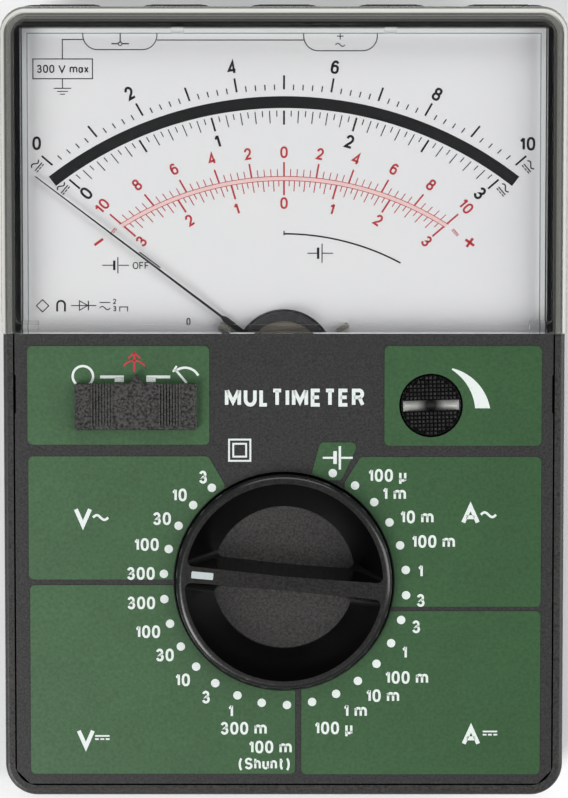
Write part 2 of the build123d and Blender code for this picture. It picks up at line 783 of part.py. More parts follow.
with BuildPart() as detent_springs:
    for end_angle in (0, 180):
        bore_plane = turned_plane(-3.85, 0, knob_y, knob_bar_angle + end_angle)
        coil_start = bore_plane.from_local_coords(Vector(15.6, 0, 0))
        with BuildLine() as coil_line:
            Helix(pitch=0.8, height=4.0, radius=0.9, center=coil_start, direction=bore_plane.x_dir)
        with BuildSketch(Plane(origin=coil_line.line @ 0, z_dir=coil_line.line % 0)):
            Circle(0.15)
        sweep(path=coil_line.line)

detent_springs.part.label = "detent_springs"
export_step(detent_springs.part, "parts/detent_springs.step")

# ---------------------------------------------------------------- three-position slide switch
cap_bottom = 0.2
cap_top = 1.9
groove_zones = (-32.3, -20.15)
with BuildPart() as slide_knob:
    with BuildSketch(panel_plane(cap_bottom, slide_x, slide_y)):
        RectangleRounded(slide_length, slide_height, 0.35)
        with BuildLine():
            Polyline(
                (-1.35, slide_height / 2 - 0.1),
                (1.35, slide_height / 2 - 0.1),
                (0, slide_height / 2 + 1.7),
                close=True,
            )
        make_face()
    extrude(amount=cap_top - cap_bottom)
    chamfer(slide_knob.faces().sort_by(Axis((0, 0, 0), front_normal))[-1].edges(), 0.2)
    with BuildSketch(panel_plane(cap_top - 0.3)):
        for zone_x in groove_zones:
            with Locations((zone_x, slide_y)):
                with GridLocations(0.48, 0, 8, 1):
                    Rectangle(0.24, 5.8)
    extrude(amount=1, mode=Mode.SUBTRACT)
    with BuildSketch(panel_plane(cap_bottom + 0.1, slide_x, slide_y)):
        Rectangle(7.0, 4.0)
    extrude(amount=-4.3)
    with BuildSketch(panel_plane(-5, slide_x, slide_y)):
        Rectangle(3.1, 2.1)
    extrude(amount=4.2, mode=Mode.SUBTRACT)

slide_knob.part.label = "slide_knob"
export_step(slide_knob.part, "parts/slide_knob.step")

with BuildPart() as slide_actuator:
    with BuildSketch(panel_plane(-7.6, slide_x, slide_y)):
        Rectangle(6.0, 3.0)
    extrude(amount=2.2)
    with BuildSketch(panel_plane(-5.5, slide_x, slide_y)):
        Rectangle(3.0, 2.0)
    extrude(amount=4.4)

slide_actuator.part.label = "slide_actuator"
export_step(slide_actuator.part, "parts/slide_actuator.step")

with BuildPart() as slide_switch_body:
    with BuildSketch(panel_plane(board_top + 0.02, slide_x, slide_y)):
        Rectangle(19, 7.6)
    extrude(amount=4.9)
    with BuildSketch(panel_plane(-7.8, slide_x, slide_y)):
        Rectangle(6.0 + 2 * slide_travel + 0.6, 3.3)
    extrude(amount=2.3)
    with BuildSketch(panel_plane(-7.8, slide_x, slide_y)):
        Rectangle(6.0 + 2 * slide_travel + 0.6, 3.3)
    extrude(amount=6, mode=Mode.SUBTRACT)
    with BuildSketch(panel_plane(board_top + 0.1, slide_x, slide_y)):
        with GridLocations(2.8, 5.0, 6, 2):
            Rectangle(0.8, 0.4)
    extrude(amount=-3.4)

slide_switch_body.part.label = "slide_switch_body"
export_step(slide_switch_body.part, "parts/slide_switch_body.step")

# ---------------------------------------------------------------- adjuster
with BuildPart() as adjust_knob:
    with BuildSketch(panel_plane(-3.6, adjust_x, adjust_y)):
        Circle(adjust_radius)
    extrude(amount=3.9)
    chamfer(adjust_knob.faces().sort_by(Axis((0, 0, 0), front_normal))[-1].edges(), 0.25)
    with BuildSketch(panel_plane(0.05, adjust_x, adjust_y)):            # knurled face
        with GridLocations(0.8, 0, 12, 1):
            Rectangle(0.25, 12)
        with GridLocations(0, 0.8, 1, 12):
            Rectangle(12, 0.25)
    extrude(amount=1, mode=Mode.SUBTRACT)
    with BuildSketch(turned_plane(-0.9, adjust_x, adjust_y, 1.5)):
        Rectangle(10.2, 1.9)
    extrude(amount=2, mode=Mode.SUBTRACT)
    with BuildSketch(panel_plane(-3.5, adjust_x, adjust_y)):
        Circle(1.8)
    extrude(amount=-3.4)

adjust_knob.part.label = "adjust_knob"
export_step(adjust_knob.part, "parts/adjust_knob.step")

with BuildPart() as potentiometer_body:
    with BuildSketch(panel_plane(board_top + 0.02, adjust_x, adjust_y)):
        RectangleRounded(10.5, 10.5, 0.8)
    extrude(amount=5.4)
    with BuildSketch(panel_plane(board_top + 0.1, adjust_x, adjust_y)):
        with GridLocations(5.0, 5.0, 2, 2):
            Circle(0.4)
    extrude(amount=-3.2)
    with BuildSketch(panel_plane(-7.2, adjust_x, adjust_y)):
        Circle(1.86)
    extrude(amount=5, mode=Mode.SUBTRACT)

potentiometer_body.part.label = "potentiometer_body"
export_step(potentiometer_body.part, "parts/potentiometer_body.step")

# ---------------------------------------------------------------- movement, moving pieces
def pointer_plane(height):
    """Panel plane at the pivot whose local y runs along the resting pointer."""
    return turned_plane(height, 0, pivot_y, pointer_rest)


coil_top = -8.2
coil_bottom = -18.8
with BuildPart() as pointer:
    with BuildSketch(pointer_plane(pointer_height)):
        Circle(1.6)
        with BuildLine():
            Polyline((-0.45, 0), (-0.55, 13.2), (-0.225, 14.0), (-0.1, pointer_reach),
                     (0.1, pointer_reach), (0.225, 14.0), (0.55, 13.2), (0.45, 0), close=True)
        make_face()
        with Locations((0, -2.6)):
            Rectangle(0.8, 5.2)
        Rectangle(9.6, 0.8)
        Circle(0.6, mode=Mode.SUBTRACT)
    extrude(amount=0.3)

pointer.part.label = "pointer"
export_step(pointer.part, "parts/pointer.step")

with BuildPart() as balance_weights:
    with BuildSketch(pointer_plane(pointer_height - 0.01)):
        with Locations((0, -4.7), (-4.3, 0), (4.3, 0)):
            Circle(0.85)
    extrude(amount=-0.7)

balance_weights.part.label = "balance_weights"
export_step(balance_weights.part, "parts/balance_weights.step")

coil_side = Plane(
    pointer_plane((coil_top + coil_bottom) / 2).origin,
    x_dir=pointer_plane(0).x_dir,
    z_dir=-pointer_plane(0).y_dir,
)
with BuildPart() as moving_coil:
    with BuildSketch(coil_side):
        RectangleRounded(21.5, coil_top - coil_bottom, 1.2)
        RectangleRounded(17.5, coil_top - coil_bottom - 2.0, 0.6, mode=Mode.SUBTRACT)
    extrude(amount=1.5, both=True)

moving_coil.part.label = "moving_coil"
export_step(moving_coil.part, "parts/moving_coil.step")

with BuildPart() as coil_spindle:
    with BuildSketch(radial_plane(0, pivot_y)):
        with BuildLine():
            Polyline((0, coil_top + 0.02), (2.2, coil_top + 0.02), (2.2, coil_top + 0.5), (0.58, coil_top + 0.5),
                     (0.58, -3.5), (0.2, -3.2), (0.2, -2.72), (0, -2.72), close=True)
        make_face()
    revolve(axis=panel_axis(0, pivot_y))
    with BuildSketch(radial_plane(0, pivot_y)):
        with BuildLine():
            Polyline((0, coil_bottom - 0.02), (2.2, coil_bottom - 0.02), (2.2, coil_bottom - 0.4),
                     (0.5, coil_bottom - 0.4), (0.5, -19.9), (0.2, -20.2), (0.2, -20.7), (0, -20.7), close=True)
        make_face()
    revolve(axis=panel_axis(0, pivot_y))

coil_spindle.part.label = "coil_spindle"
export_step(coil_spindle.part, "parts/coil_spindle.step")

# ---------------------------------------------------------------- movement, fixed pieces
with BuildPart() as magnet_core:
    with BuildSketch(panel_plane(-17.5, 0, pivot_y)):
        Circle(8.2)
    extrude(amount=8.0)
    chamfer(magnet_core.edges().filter_by(GeomType.CIRCLE), 0.3)

magnet_core.part.label = "magnet_core"
export_step(magnet_core.part, "parts/magnet_core.step")

with BuildPart() as yoke_ring:
    with BuildSketch(panel_plane(-17.9, 0, pivot_y)):
        Circle(15.5)
        Circle(11.6, mode=Mode.SUBTRACT)
    extrude(amount=8.8)
    chamfer(yoke_ring.edges().filter_by(GeomType.CIRCLE), 0.3)

yoke_ring.part.label = "yoke_ring"
export_step(yoke_ring.part, "parts/yoke_ring.step")

with BuildPart() as core_spider:
    with BuildSketch(panel_plane(-15.0, 0, pivot_y)):
        Rectangle(3.0, 22.8)
        Circle(8.3, mode=Mode.SUBTRACT)
    extrude(amount=3.0)

core_spider.part.label = "core_spider"
export_step(core_spider.part, "parts/core_spider.step")

frame_top = well_underside - 0.05
with BuildPart() as movement_frame:
    with BuildSketch(panel_plane(frame_top, 0, pivot_y)):
        RectangleRounded(33, 35, 3)
        Circle(3.6, mode=Mode.SUBTRACT)
        with Locations((-14.0, -13.5), (14.0, -13.5), (-14.0, 13.5), (14.0, 13.5)):
            Circle(1.0, mode=Mode.SUBTRACT)
    extrude(amount=-1.0)
    with BuildSketch(panel_plane(frame_top - 0.5, 0, pivot_y)):
        with Locations((0, -16.6), (0, 16.6)):
            Rectangle(12, 1.6)
    extrude(amount=-14.4)
    with BuildSketch(panel_plane(-21.3, 0, pivot_y)):
        RectangleRounded(14, 34.8, 2)
        Circle(1.55, mode=Mode.SUBTRACT)
    extrude(amount=1.0)

movement_frame.part.label = "movement_frame"
export_step(movement_frame.part, "parts/movement_frame.step")

pillar_places = ((-6.3, 3.3), (6.3, 3.3))
with BuildPart() as movement_bridge:
    with BuildSketch(panel_plane(-3.1)):
        with Locations((0, dial_hole_y)):
            Circle(8.6)
        with Locations((0, pivot_y)):
            Circle(1.2, mode=Mode.SUBTRACT)
    extrude(amount=0.8)
    with BuildSketch(panel_plane(-2.5)):
        with Locations((0, dial_hole_y)):
            Circle(7.0)
    extrude(amount=1, mode=Mode.SUBTRACT)
    with BuildSketch(panel_plane(-3.0)):
        with Locations(*pillar_places):
            Circle(0.75)
    extrude(amount=3.0 + frame_top + 0.02)

movement_bridge.part.label = "movement_bridge"
export_step(movement_bridge.part, "parts/movement_bridge.step")

with BuildPart() as jewel_plate:
    with BuildSketch(panel_plane(-2.49)):
        with Locations((0, dial_hole_y)):
            Circle(6.95)
    extrude(amount=0.25)

jewel_plate.part.label = "jewel_plate"
export_step(jewel_plate.part, "parts/jewel_plate.step")

with BuildPart() as jewel_screws:
    with BuildSketch(radial_plane(0, pivot_y)):
        with BuildLine():
            Polyline((0, -2.52), (1.18, -2.52), (1.18, -3.1), (0.25, -3.1), (0.25, -2.65), (0, -2.65), close=True)
        make_face()
    revolve(axis=panel_axis(0, pivot_y))
    with BuildSketch(radial_plane(0, pivot_y)):
        with BuildLine():
            Polyline((0, -21.9), (1.53, -21.9), (1.53, -20.3), (0.25, -20.3), (0.25, -20.8), (0, -20.8), close=True)
        make_face()
    revolve(axis=panel_axis(0, pivot_y))

jewel_screws.part.label = "jewel_screws"
export_step(jewel_screws.part, "parts/jewel_screws.step")

with BuildPart() as hairsprings:
    for spring_height in (-5.3, -19.9):
        with BuildSketch(panel_plane(spring_height, 0, pivot_y)):
            with BuildLine() as spiral:
                for half_turn in range(8):
                    side = 1 if half_turn % 2 == 0 else -1
                    CenterArc((0.2 if side < 0 else 0, 0), 1.0 + 0.4 * half_turn / 2,
                              0 if side > 0 else 180, 180)
            trace(line_width=0.16)
        extrude(amount=0.3)

hairsprings.part.label = "hairsprings"
export_step(hairsprings.part, "parts/hairsprings.step")

with BuildPart() as zero_adjust_arm:
    with BuildSketch(panel_plane(frame_top + 0.02, 0, pivot_y)):
        Circle(5.2)
        with Locations((0, -6.0)):
            Rectangle(1.8, 4.5)
        Circle(3.6, mode=Mode.SUBTRACT)
    extrude(amount=0.4)
    with BuildSketch(panel_plane(frame_top + 0.1, 0, pivot_y)):
        with Locations((-3.6, -2.2)):
            Rectangle(0.5, 1.2)
    extrude(amount=1.6)

zero_adjust_arm.part.label = "zero_adjust_arm"
export_step(zero_adjust_arm.part, "parts/zero_adjust_arm.step")

with BuildPart() as movement_screws:
    with BuildSketch(panel_plane(frame_top - 1.02, 0, pivot_y)):
        with Locations((-14.0, -13.5), (14.0, -13.5)):
            Circle(1.7)
    extrude(amount=-1.0)
    with BuildSketch(panel_plane(frame_top - 1.1, 0, pivot_y)):
        with Locations((-14.0, -13.5), (14.0, -13.5)):
            Circle(0.78)
    extrude(amount=4.0)

movement_screws.part.label = "movement_screws"
export_step(movement_screws.part, "parts/movement_screws.step")

# ---------------------------------------------------------------- components under the board
resistor_places = [(-35 + 5.5 * column, row) for row in (-60.5, -47.5) for column in range(5)]
resistor_places += [(13 + 5.5 * column, -60.5) for column in range(5)]


def axial_parts(places, body_radius, body_length, lead_length, drop):
    """Axial components lying along y under the board, each with two bent leads."""
    with BuildPart() as group:
        for x, y in places:
            base = panel_plane(board_bottom - drop, x, y)
            start = Plane(base.from_local_coords(Vector(0, -lead_length / 2, 0)), x_dir=base.x_dir, z_dir=base.y_dir)
            middle = Plane(base.from_local_coords(Vector(0, -body_length / 2, 0)), x_dir=base.x_dir, z_dir=base.y_dir)
            with BuildSketch(start):
                Circle(0.3)
            extrude(amount=lead_length)
            with BuildSketch(middle):
                Circle(body_radius)
            extrude(amount=body_length)
            with BuildSketch(panel_plane(board_bottom - drop - 0.4, x, y)):
                with Locations((0, -lead_length / 2), (0, lead_length / 2)):
                    Circle(0.36)
            extrude(amount=drop + 0.35)
    return group


resistors = axial_parts(resistor_places, 1.1, 6.2, 10.0, 1.5)
resistors.part.label = "resistors"
export_step(resistors.part, "parts/resistors.step")

precision_resistors = axial_parts([(-40.0, -30.0), (-34.5, -30.0), (-29.0, -30.0)], 2.1, 11.0, 15.5, 2.5)
precision_resistors.part.label = "precision_resistors"
export_step(precision_resistors.part, "parts/precision_resistors.step")

diodes = axial_parts([(28.0, -47.0), (32.5, -47.0), (37.0, -35.0), (41.0, -35.0)], 0.9, 4.0, 8.0, 1.3)
diodes.part.label = "diodes"
export_step(diodes.part, "parts/diodes.step")

with BuildPart() as capacitors:
    for cap_x, cap_y in ((30.0, -24.0), (38.5, -24.0)):
        with BuildSketch(panel_plane(board_bottom - 0.05, cap_x, cap_y)):
            Circle(3.2)
        extrude(amount=-7.0)
    chamfer(capacitors.faces().filter_by(GeomType.PLANE).sort_by(Axis.Z)[:2].edges(), 0.5)

capacitors.part.label = "capacitors"
export_step(capacitors.part, "parts/capacitors.step")

with BuildPart() as film_capacitors:
    with BuildSketch(panel_plane(board_bottom - 0.05)):
        with Locations((-24.0, -12.0), (-32.0, -12.0), (24.0, -10.0)):
            RectangleRounded(3.0, 7.5, 0.4)
    extrude(amount=-5.5)

film_capacitors.part.label = "film_capacitors"
export_step(film_capacitors.part, "parts/film_capacitors.step")

with BuildPart() as amplifier_chip:
    with BuildSketch(panel_plane(board_bottom - 0.6, 12, -46)):
        Rectangle(9.6, 6.3)
    extrude(amount=-3.2)
    with BuildSketch(panel_plane(board_bottom - 2.2, 12, -46)):
        with GridLocations(2.54, 7.4, 4, 2):
            Rectangle(0.6, 1.2)
    extrude(amount=2.1)

amplifier_chip.part.label = "amplifier_chip"
export_step(amplifier_chip.part, "parts/amplifier_chip.step")

with BuildPart() as trimmer_resistors:
    with BuildSketch(panel_plane(board_bottom - 0.05)):
        with Locations((-8.0, -46.0), (-18.0, -24.0), (18.0, -24.0)):
            Rectangle(6.4, 6.4)
    extrude(amount=-3.4)
    with BuildSketch(panel_plane(board_bottom - 3.45)):
        with Locations((-8.0, -46.0), (-18.0, -24.0), (18.0, -24.0)):
            Circle(1.8)
    extrude(amount=-0.6)
    with BuildSketch(panel_plane(board_bottom - 4.05)):
        with Locations((-8.0, -46.0), (-18.0, -24.0), (18.0, -24.0)):
            Rectangle(3.0, 0.6)
    extrude(amount=0.5, mode=Mode.SUBTRACT)

trimmer_resistors.part.label = "trimmer_resistors"
export_step(trimmer_resistors.part, "parts/trimmer_resistors.step")

with BuildPart() as current_shunt:                                       # bent strip, long feet in the board
    shunt_side = panel_plane(board_bottom, 0, -33)
    with BuildSketch(Plane(shunt_side.origin, x_dir=shunt_side.x_dir, z_dir=-shunt_side.y_dir)):
        with Locations((0, -1.8)):
            RectangleRounded(22, 4.6, 1.6)
            RectangleRounded(20.4, 3.0, 0.9, mode=Mode.SUBTRACT)
        with Locations((0, 1.0)):
            Rectangle(30, 2.1, mode=Mode.SUBTRACT)
    extrude(amount=2.5, both=True)

current_shunt.part.label = "current_shunt"
export_step(current_shunt.part, "parts/current_shunt.step")

fuse_y = -55.0
with BuildPart() as fuse:
    with BuildSketch(cross_plane(board_bottom - 3.6, 0, fuse_y)):
        Circle(2.4)
    extrude(amount=10, both=True)

fuse.part.label = "fuse"
export_step(fuse.part, "parts/fuse.step")

with BuildPart() as fuse_clips:
    for clip_x in (-8.0, 8.0):
        with BuildSketch(cross_plane(board_bottom - 3.6, clip_x, fuse_y)):
            Circle(2.9)
            Circle(2.42, mode=Mode.SUBTRACT)
            with Locations((0, -2.6)):
                Rectangle(2.6, 2.4, mode=Mode.SUBTRACT)
            with Locations((0, 3.15)):
                Rectangle(3.0, 0.8)
        extrude(amount=1.6, both=True)

fuse_clips.part.label = "fuse_clips"
export_step(fuse_clips.part, "parts/fuse_clips.step")

# ---------------------------------------------------------------- internal leads
contact_end = socket_face - socket_depth - 4.0
left_board = panel_plane(board_bottom - 0.15, -31.0, 3.5).origin
right_board = panel_plane(board_bottom - 0.15, -23.0, 3.5).origin
left_lead = smooth_route(
    (
        (socket_positions[0], contact_end - 0.02, socket_height),
        (socket_positions[0], contact_end - 7, socket_height),
        (-30.5, contact_end - 17, 10.5),
        (-33.0, contact_end - 29, 8.5),
        (left_board.X, left_board.Y + 2.5, 8.5),
        (left_board.X, left_board.Y, 11.5),
        (left_board.X, left_board.Y, left_board.Z),
    ),
    0.8,
)
right_lead = smooth_route(
    (
        (socket_positions[1], contact_end - 0.02, socket_height),
        (socket_positions[1], contact_end - 5, socket_height),
        (3.0, contact_end - 11, 10.5),
        (-9.0, contact_end - 15, 8.5),
        (-19.0, contact_end - 22, 8.0),
        (-23.0, contact_end - 33, 8.0),
        (right_board.X, right_board.Y + 2.5, 8.5),
        (right_board.X, right_board.Y, 11.5),
        (right_board.X, right_board.Y, right_board.Z),
    ),
    0.8,
)
with BuildPart() as socket_leads:
    add(left_lead)
    add(right_lead)

socket_leads.part.label = "socket_leads"
export_step(socket_leads.part, "parts/socket_leads.step")

snap_back = snap_face - 2.45
with BuildPart() as battery_leads:
    for lead_x in (35.5, 38.5):
        target = panel_plane(board_bottom - 0.12, lead_x, 4.5).origin
        add(
            smooth_route(
                (
                    (lead_x, snap_back - 0.02, 11.0),
                    (lead_x, snap_back - 3.5, 11.0),
                    (lead_x, target.Y, 13.0),
                    (lead_x, target.Y, target.Z),
                ),
                0.6,
            )
        )

battery_leads.part.label = "battery_leads"
export_step(battery_leads.part, "parts/battery_leads.step")

with BuildPart() as movement_leads:
    for side in (-1, 1):
        start = panel_plane(-20.8, side * 7.05, 0.0).origin
        target = panel_plane(board_bottom - 0.12, side * 20.5, -6.0).origin
        add(
            smooth_route(
                (
                    (start.X, start.Y, start.Z),
                    (start.X + side * 6.0, start.Y, start.Z),
                    (target.X, target.Y + 1.0, start.Z + 3.0),
                    (target.X, target.Y, start.Z + 6.5),
                    (target.X, target.Y, target.Z),
                ),
                0.5,
            )
        )

movement_leads.part.label = "movement_leads"
export_step(movement_leads.part, "parts/movement_leads.step")
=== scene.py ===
import json
from math import atan2, copysign, cos, degrees, pi, radians, sin

import bmesh
import bpy
from mathutils import Matrix, Vector


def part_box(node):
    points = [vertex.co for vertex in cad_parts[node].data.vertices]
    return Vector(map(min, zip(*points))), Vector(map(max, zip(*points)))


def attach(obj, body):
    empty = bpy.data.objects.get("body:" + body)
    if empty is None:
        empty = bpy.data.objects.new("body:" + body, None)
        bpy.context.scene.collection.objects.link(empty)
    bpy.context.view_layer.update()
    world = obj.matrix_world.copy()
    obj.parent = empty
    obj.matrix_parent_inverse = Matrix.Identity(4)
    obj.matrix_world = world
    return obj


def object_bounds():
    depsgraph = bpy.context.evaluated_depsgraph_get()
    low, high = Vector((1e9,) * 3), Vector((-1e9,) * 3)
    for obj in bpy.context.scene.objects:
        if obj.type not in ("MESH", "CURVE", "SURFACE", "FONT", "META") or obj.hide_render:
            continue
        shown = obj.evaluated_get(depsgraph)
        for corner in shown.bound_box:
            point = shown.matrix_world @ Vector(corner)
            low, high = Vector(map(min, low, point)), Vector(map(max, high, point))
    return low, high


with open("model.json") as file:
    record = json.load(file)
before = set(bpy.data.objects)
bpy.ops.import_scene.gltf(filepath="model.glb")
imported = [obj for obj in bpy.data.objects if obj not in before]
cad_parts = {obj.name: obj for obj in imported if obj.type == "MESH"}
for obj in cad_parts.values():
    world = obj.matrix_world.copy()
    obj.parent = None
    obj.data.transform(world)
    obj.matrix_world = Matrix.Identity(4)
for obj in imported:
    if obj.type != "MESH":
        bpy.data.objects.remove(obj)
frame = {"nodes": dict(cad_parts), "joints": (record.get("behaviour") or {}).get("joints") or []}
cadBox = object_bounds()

print("frame loaded with", len(frame["nodes"]), "nodes")
mm = 0.001
scene = bpy.context.scene
scene.view_settings.view_transform = "Standard"   # plain tone curve, so the hex colours stay what they say

# the front panel slopes, so everything on it is laid out in millimetres on its own plane
joints = {joint["name"]: joint for joint in frame["joints"]}
panelNormal = Vector(joints["range_knob_turn"]["axis"]).normalized()
panelRight = Vector((1, 0, 0))
panelUp = panelNormal.cross(panelRight)
panelTurn = Matrix((panelRight, panelUp, panelNormal)).transposed().to_4x4()
knobBelowMiddle = 32.0                            # mm from the knob's centre up to the panel's middle
panelMiddle = Vector(joints["range_knob_turn"]["pos_m"]) + panelUp * knobBelowMiddle * mm
pointerPivot = Vector(joints["pointer_swing"]["pos_m"])


def onPanel(origin, height):
    # millimetres on a plane parallel to the panel, to metres in the frame
    return Matrix.Translation(origin + panelNormal * height * mm) @ panelTurn @ Matrix.Scale(mm, 4)


# camera, lights and floor
cameraSetup = {"height": 0.590, "up": 0.00065, "lens": 142.7, "sensor": 36, "near": 0.01, "far": 20}
cameraData = bpy.data.cameras.new("camera")
cameraData.lens = cameraSetup["lens"]
cameraData.sensor_width = cameraSetup["sensor"]
cameraData.clip_start = cameraSetup["near"]
cameraData.clip_end = cameraSetup["far"]
camera = bpy.data.objects.new("camera", cameraData)
camera.location = (0, cameraSetup["up"], cameraSetup["height"])
scene.collection.objects.link(camera)
scene.camera = camera

softBoxes = (
    # name, place, width, length, watts
    ("keyBox", (-0.58, -0.50, 0.66), 0.40, 0.70, 6.6),
    ("rightBox", (0.78, -0.05, 0.58), 0.45, 0.80, 4.6),
    ("topBox", (0.05, 0.80, 0.66), 0.90, 0.40, 2.8),
)
for name, place, width, length, watts in softBoxes:
    light = bpy.data.lights.new(name, "AREA")
    light.shape = "RECTANGLE"
    light.size = width
    light.size_y = length
    light.energy = watts
    lamp = bpy.data.objects.new(name, light)
    lamp.location = place
    lamp.rotation_mode = "QUATERNION"
    lamp.rotation_quaternion = (Vector(place) - Vector((0, 0, 0.02))).to_track_quat("Z", "Y")
    scene.collection.objects.link(lamp)


# materials
def toLinear(hexColour):
    channels = [int(hexColour[start:start + 2], 16) / 255 for start in (1, 3, 5)]
    return tuple(c / 12.92 if c <= 0.04045 else ((c + 0.055) / 1.055) ** 2.4 for c in channels) + (1.0,)


def addNode(tree, kind, inputs=None, **settings):
    # settings go on the node; an input is a value, a socket, or a node whose first output is meant
    made = tree.nodes.new(kind)
    for name, value in settings.items():
        setattr(made, name, value)
    for name, value in (inputs or {}).items():
        if isinstance(value, bpy.types.Node):
            value = value.outputs[0]
        if isinstance(value, bpy.types.NodeSocket):
            tree.links.new(value, made.inputs[name])
        else:
            made.inputs[name].default_value = value
    return made


def startMaterial(name):
    material = bpy.data.materials.new(name)
    material.use_nodes = True
    material.node_tree.nodes.clear()
    return material, material.node_tree, addNode(material.node_tree, "ShaderNodeTexCoord").outputs["Object"]


def endMaterial(material, shader):
    addNode(material.node_tree, "ShaderNodeOutputMaterial", {"Surface": shader})
    return material


def mouldedPlastic(name, dark, light, grain, relief, gloss, ior=1.53, contrast=0.15):
    # grain and relief in mm; gloss is the roughness in the hollows and on the peaks of the grain
    material, tree, place = startMaterial(name)
    spark = addNode(tree, "ShaderNodeTexNoise", {"Vector": place, "Scale": 1 / (grain * mm), "Detail": 2.0})
    cloud = addNode(tree, "ShaderNodeTexNoise", {"Vector": place, "Scale": 1 / (14 * mm), "Detail": 2.0})
    fleck = addNode(tree, "ShaderNodeMapRange", {
        "Value": spark, "From Min": 0.5 - contrast, "From Max": 0.5 + contrast})
    wear = addNode(tree, "ShaderNodeMath", {0: cloud, 1: 0.25, 2: -0.12}, operation="MULTIPLY_ADD")
    amount = addNode(tree, "ShaderNodeMath", {0: fleck, 1: wear}, operation="ADD", use_clamp=True)
    colour = addNode(tree, "ShaderNodeMix", {
        0: amount, 6: toLinear(dark), 7: toLinear(light)}, data_type="RGBA")
    rough = addNode(tree, "ShaderNodeMapRange", {
        "Value": spark, "From Min": 0.35, "From Max": 0.65, "To Min": gloss[0], "To Max": gloss[1]})
    bump = addNode(tree, "ShaderNodeBump", {"Height": spark, "Distance": relief * mm})
    shader = addNode(tree, "ShaderNodeBsdfPrincipled", {
        "Base Color": colour.outputs[2], "Roughness": rough, "IOR": ior, "Normal": bump})
    return endMaterial(material, shader)


def workedMetal(name, dark, light, grain, relief, gloss, stretch=(1, 1, 1)):
    # stretch lengthens the grain along an axis for drawn, turned or brushed stock
    material, tree, place = startMaterial(name)
    shrink = tuple(1 / factor for factor in stretch)
    drawn = addNode(tree, "ShaderNodeMapping", {"Vector": place, "Scale": shrink})
    lines = addNode(tree, "ShaderNodeTexNoise", {
        "Vector": drawn, "Scale": 1 / (grain * mm), "Detail": 3.0, "Roughness": 0.6})
    colour = addNode(tree, "ShaderNodeMix", {
        0: lines, 6: toLinear(dark), 7: toLinear(light)}, data_type="RGBA")
    rough = addNode(tree, "ShaderNodeMapRange", {
        "Value": lines, "From Min": 0.3, "From Max": 0.7, "To Min": gloss[0], "To Max": gloss[1]})
    bump = addNode(tree, "ShaderNodeBump", {"Height": lines, "Distance": relief * mm})
    shader = addNode(tree, "ShaderNodeBsdfPrincipled", {
        "Base Color": colour.outputs[2], "Metallic": 1.0, "Roughness": rough, "Normal": bump})
    return endMaterial(material, shader)


def screenInk(name, colour, worn, gloss=0.55):
    # screen-printed ink: an even coat with pinholes and a faint mesh relief
    material, tree, place = startMaterial(name)
    mottle = addNode(tree, "ShaderNodeTexNoise", {"Vector": place, "Scale": 1 / (0.6 * mm), "Detail": 3.0})
    thin = addNode(tree, "ShaderNodeMapRange", {"Value": mottle, "From Min": 0.55, "From Max": 0.8,
        "To Max": 0.6})
    shade = addNode(tree, "ShaderNodeMix", {
        0: thin, 6: toLinear(colour), 7: toLinear(worn)}, data_type="RGBA")
    bump = addNode(tree, "ShaderNodeBump", {"Height": mottle, "Distance": 0.004 * mm})
    shader = addNode(tree, "ShaderNodeBsdfPrincipled", {
        "Base Color": shade.outputs[2], "Roughness": gloss, "IOR": 1.5, "Normal": bump})
    return endMaterial(material, shader)


def alongPanel(tree, place, direction):
    # millimetres from the panel's middle, measured along one of the panel's own directions
    moved = addNode(tree, "ShaderNodeVectorMath", {0: place, 1: tuple(panelMiddle)}, operation="SUBTRACT")
    reach = addNode(tree, "ShaderNodeVectorMath", {0: moved, 1: tuple(direction)}, operation="DOT_PRODUCT")
    return addNode(tree, "ShaderNodeMath", {0: reach.outputs["Value"], 1: 1 / mm}, operation="MULTIPLY")


# black ABS with a spark-eroded mould texture: fine pale flecks on a dull black
sparkErodedAbs = mouldedPlastic("sparkErodedAbs", "#161514", "#343331", 0.34, 0.035, (0.35, 0.55),
    contrast=0.2)
# moulded acetal for the slide: the same black, a coarser texture
slideAcetal = mouldedPlastic("slideAcetal", "#151414", "#43423f", 0.45, 0.05, (0.35, 0.55), 1.48, 0.16)
# glass-filled nylon and phenolic for the inner mouldings: dull, finely mottled black
mouldedPhenolic = mouldedPlastic("mouldedPhenolic", "#151517", "#2c2c2f", 0.3, 0.02, (0.4, 0.6))
trimmerNylon = mouldedPlastic("trimmerNylon", "#1d4f94", "#2a66b4", 0.5, 0.02, (0.35, 0.5))
closedCellFoam = mouldedPlastic("closedCellFoam", "#17171a", "#34343a", 0.8, 0.25, (0.85, 0.95), 1.45)
redPvc = mouldedPlastic("redPvc", "#a01c20", "#c02a2c", 0.7, 0.02, (0.4, 0.55))
blackPvc = mouldedPlastic("blackPvc", "#141415", "#242427", 0.7, 0.02, (0.4, 0.55))
dippedEpoxy = mouldedPlastic("dippedEpoxy", "#8e2f1a", "#a8402a", 1.4, 0.05, (0.12, 0.25), 1.55)

zincPlatedSteel = workedMetal("zincPlatedSteel", "#a9abae", "#cfd1d3", 0.5, 0.008, (0.22, 0.38))
nickelPlatedIron = workedMetal("nickelPlatedIron", "#a5a29a", "#c2bfb6", 0.8, 0.01, (0.2, 0.35))
castAlnico = workedMetal("castAlnico", "#5f5f63", "#86868b", 0.6, 0.08, (0.45, 0.7))
satinAluminium = workedMetal("satinAluminium", "#9c9fa2", "#bcbfc2", 0.25, 0.012, (0.32, 0.5), (8, 1, 1))
turnedBrass = workedMetal("turnedBrass", "#c19a4c", "#dcb96a", 0.2, 0.01, (0.2, 0.35), (1, 12, 1))
phosphorBronze = workedMetal("phosphorBronze", "#b5774a", "#cf9262", 0.3, 0.01, (0.25, 0.4), (6, 1, 1))
goldPlatedCopper = workedMetal("goldPlatedCopper", "#d9a941", "#efc766", 0.4, 0.006, (0.15, 0.3))

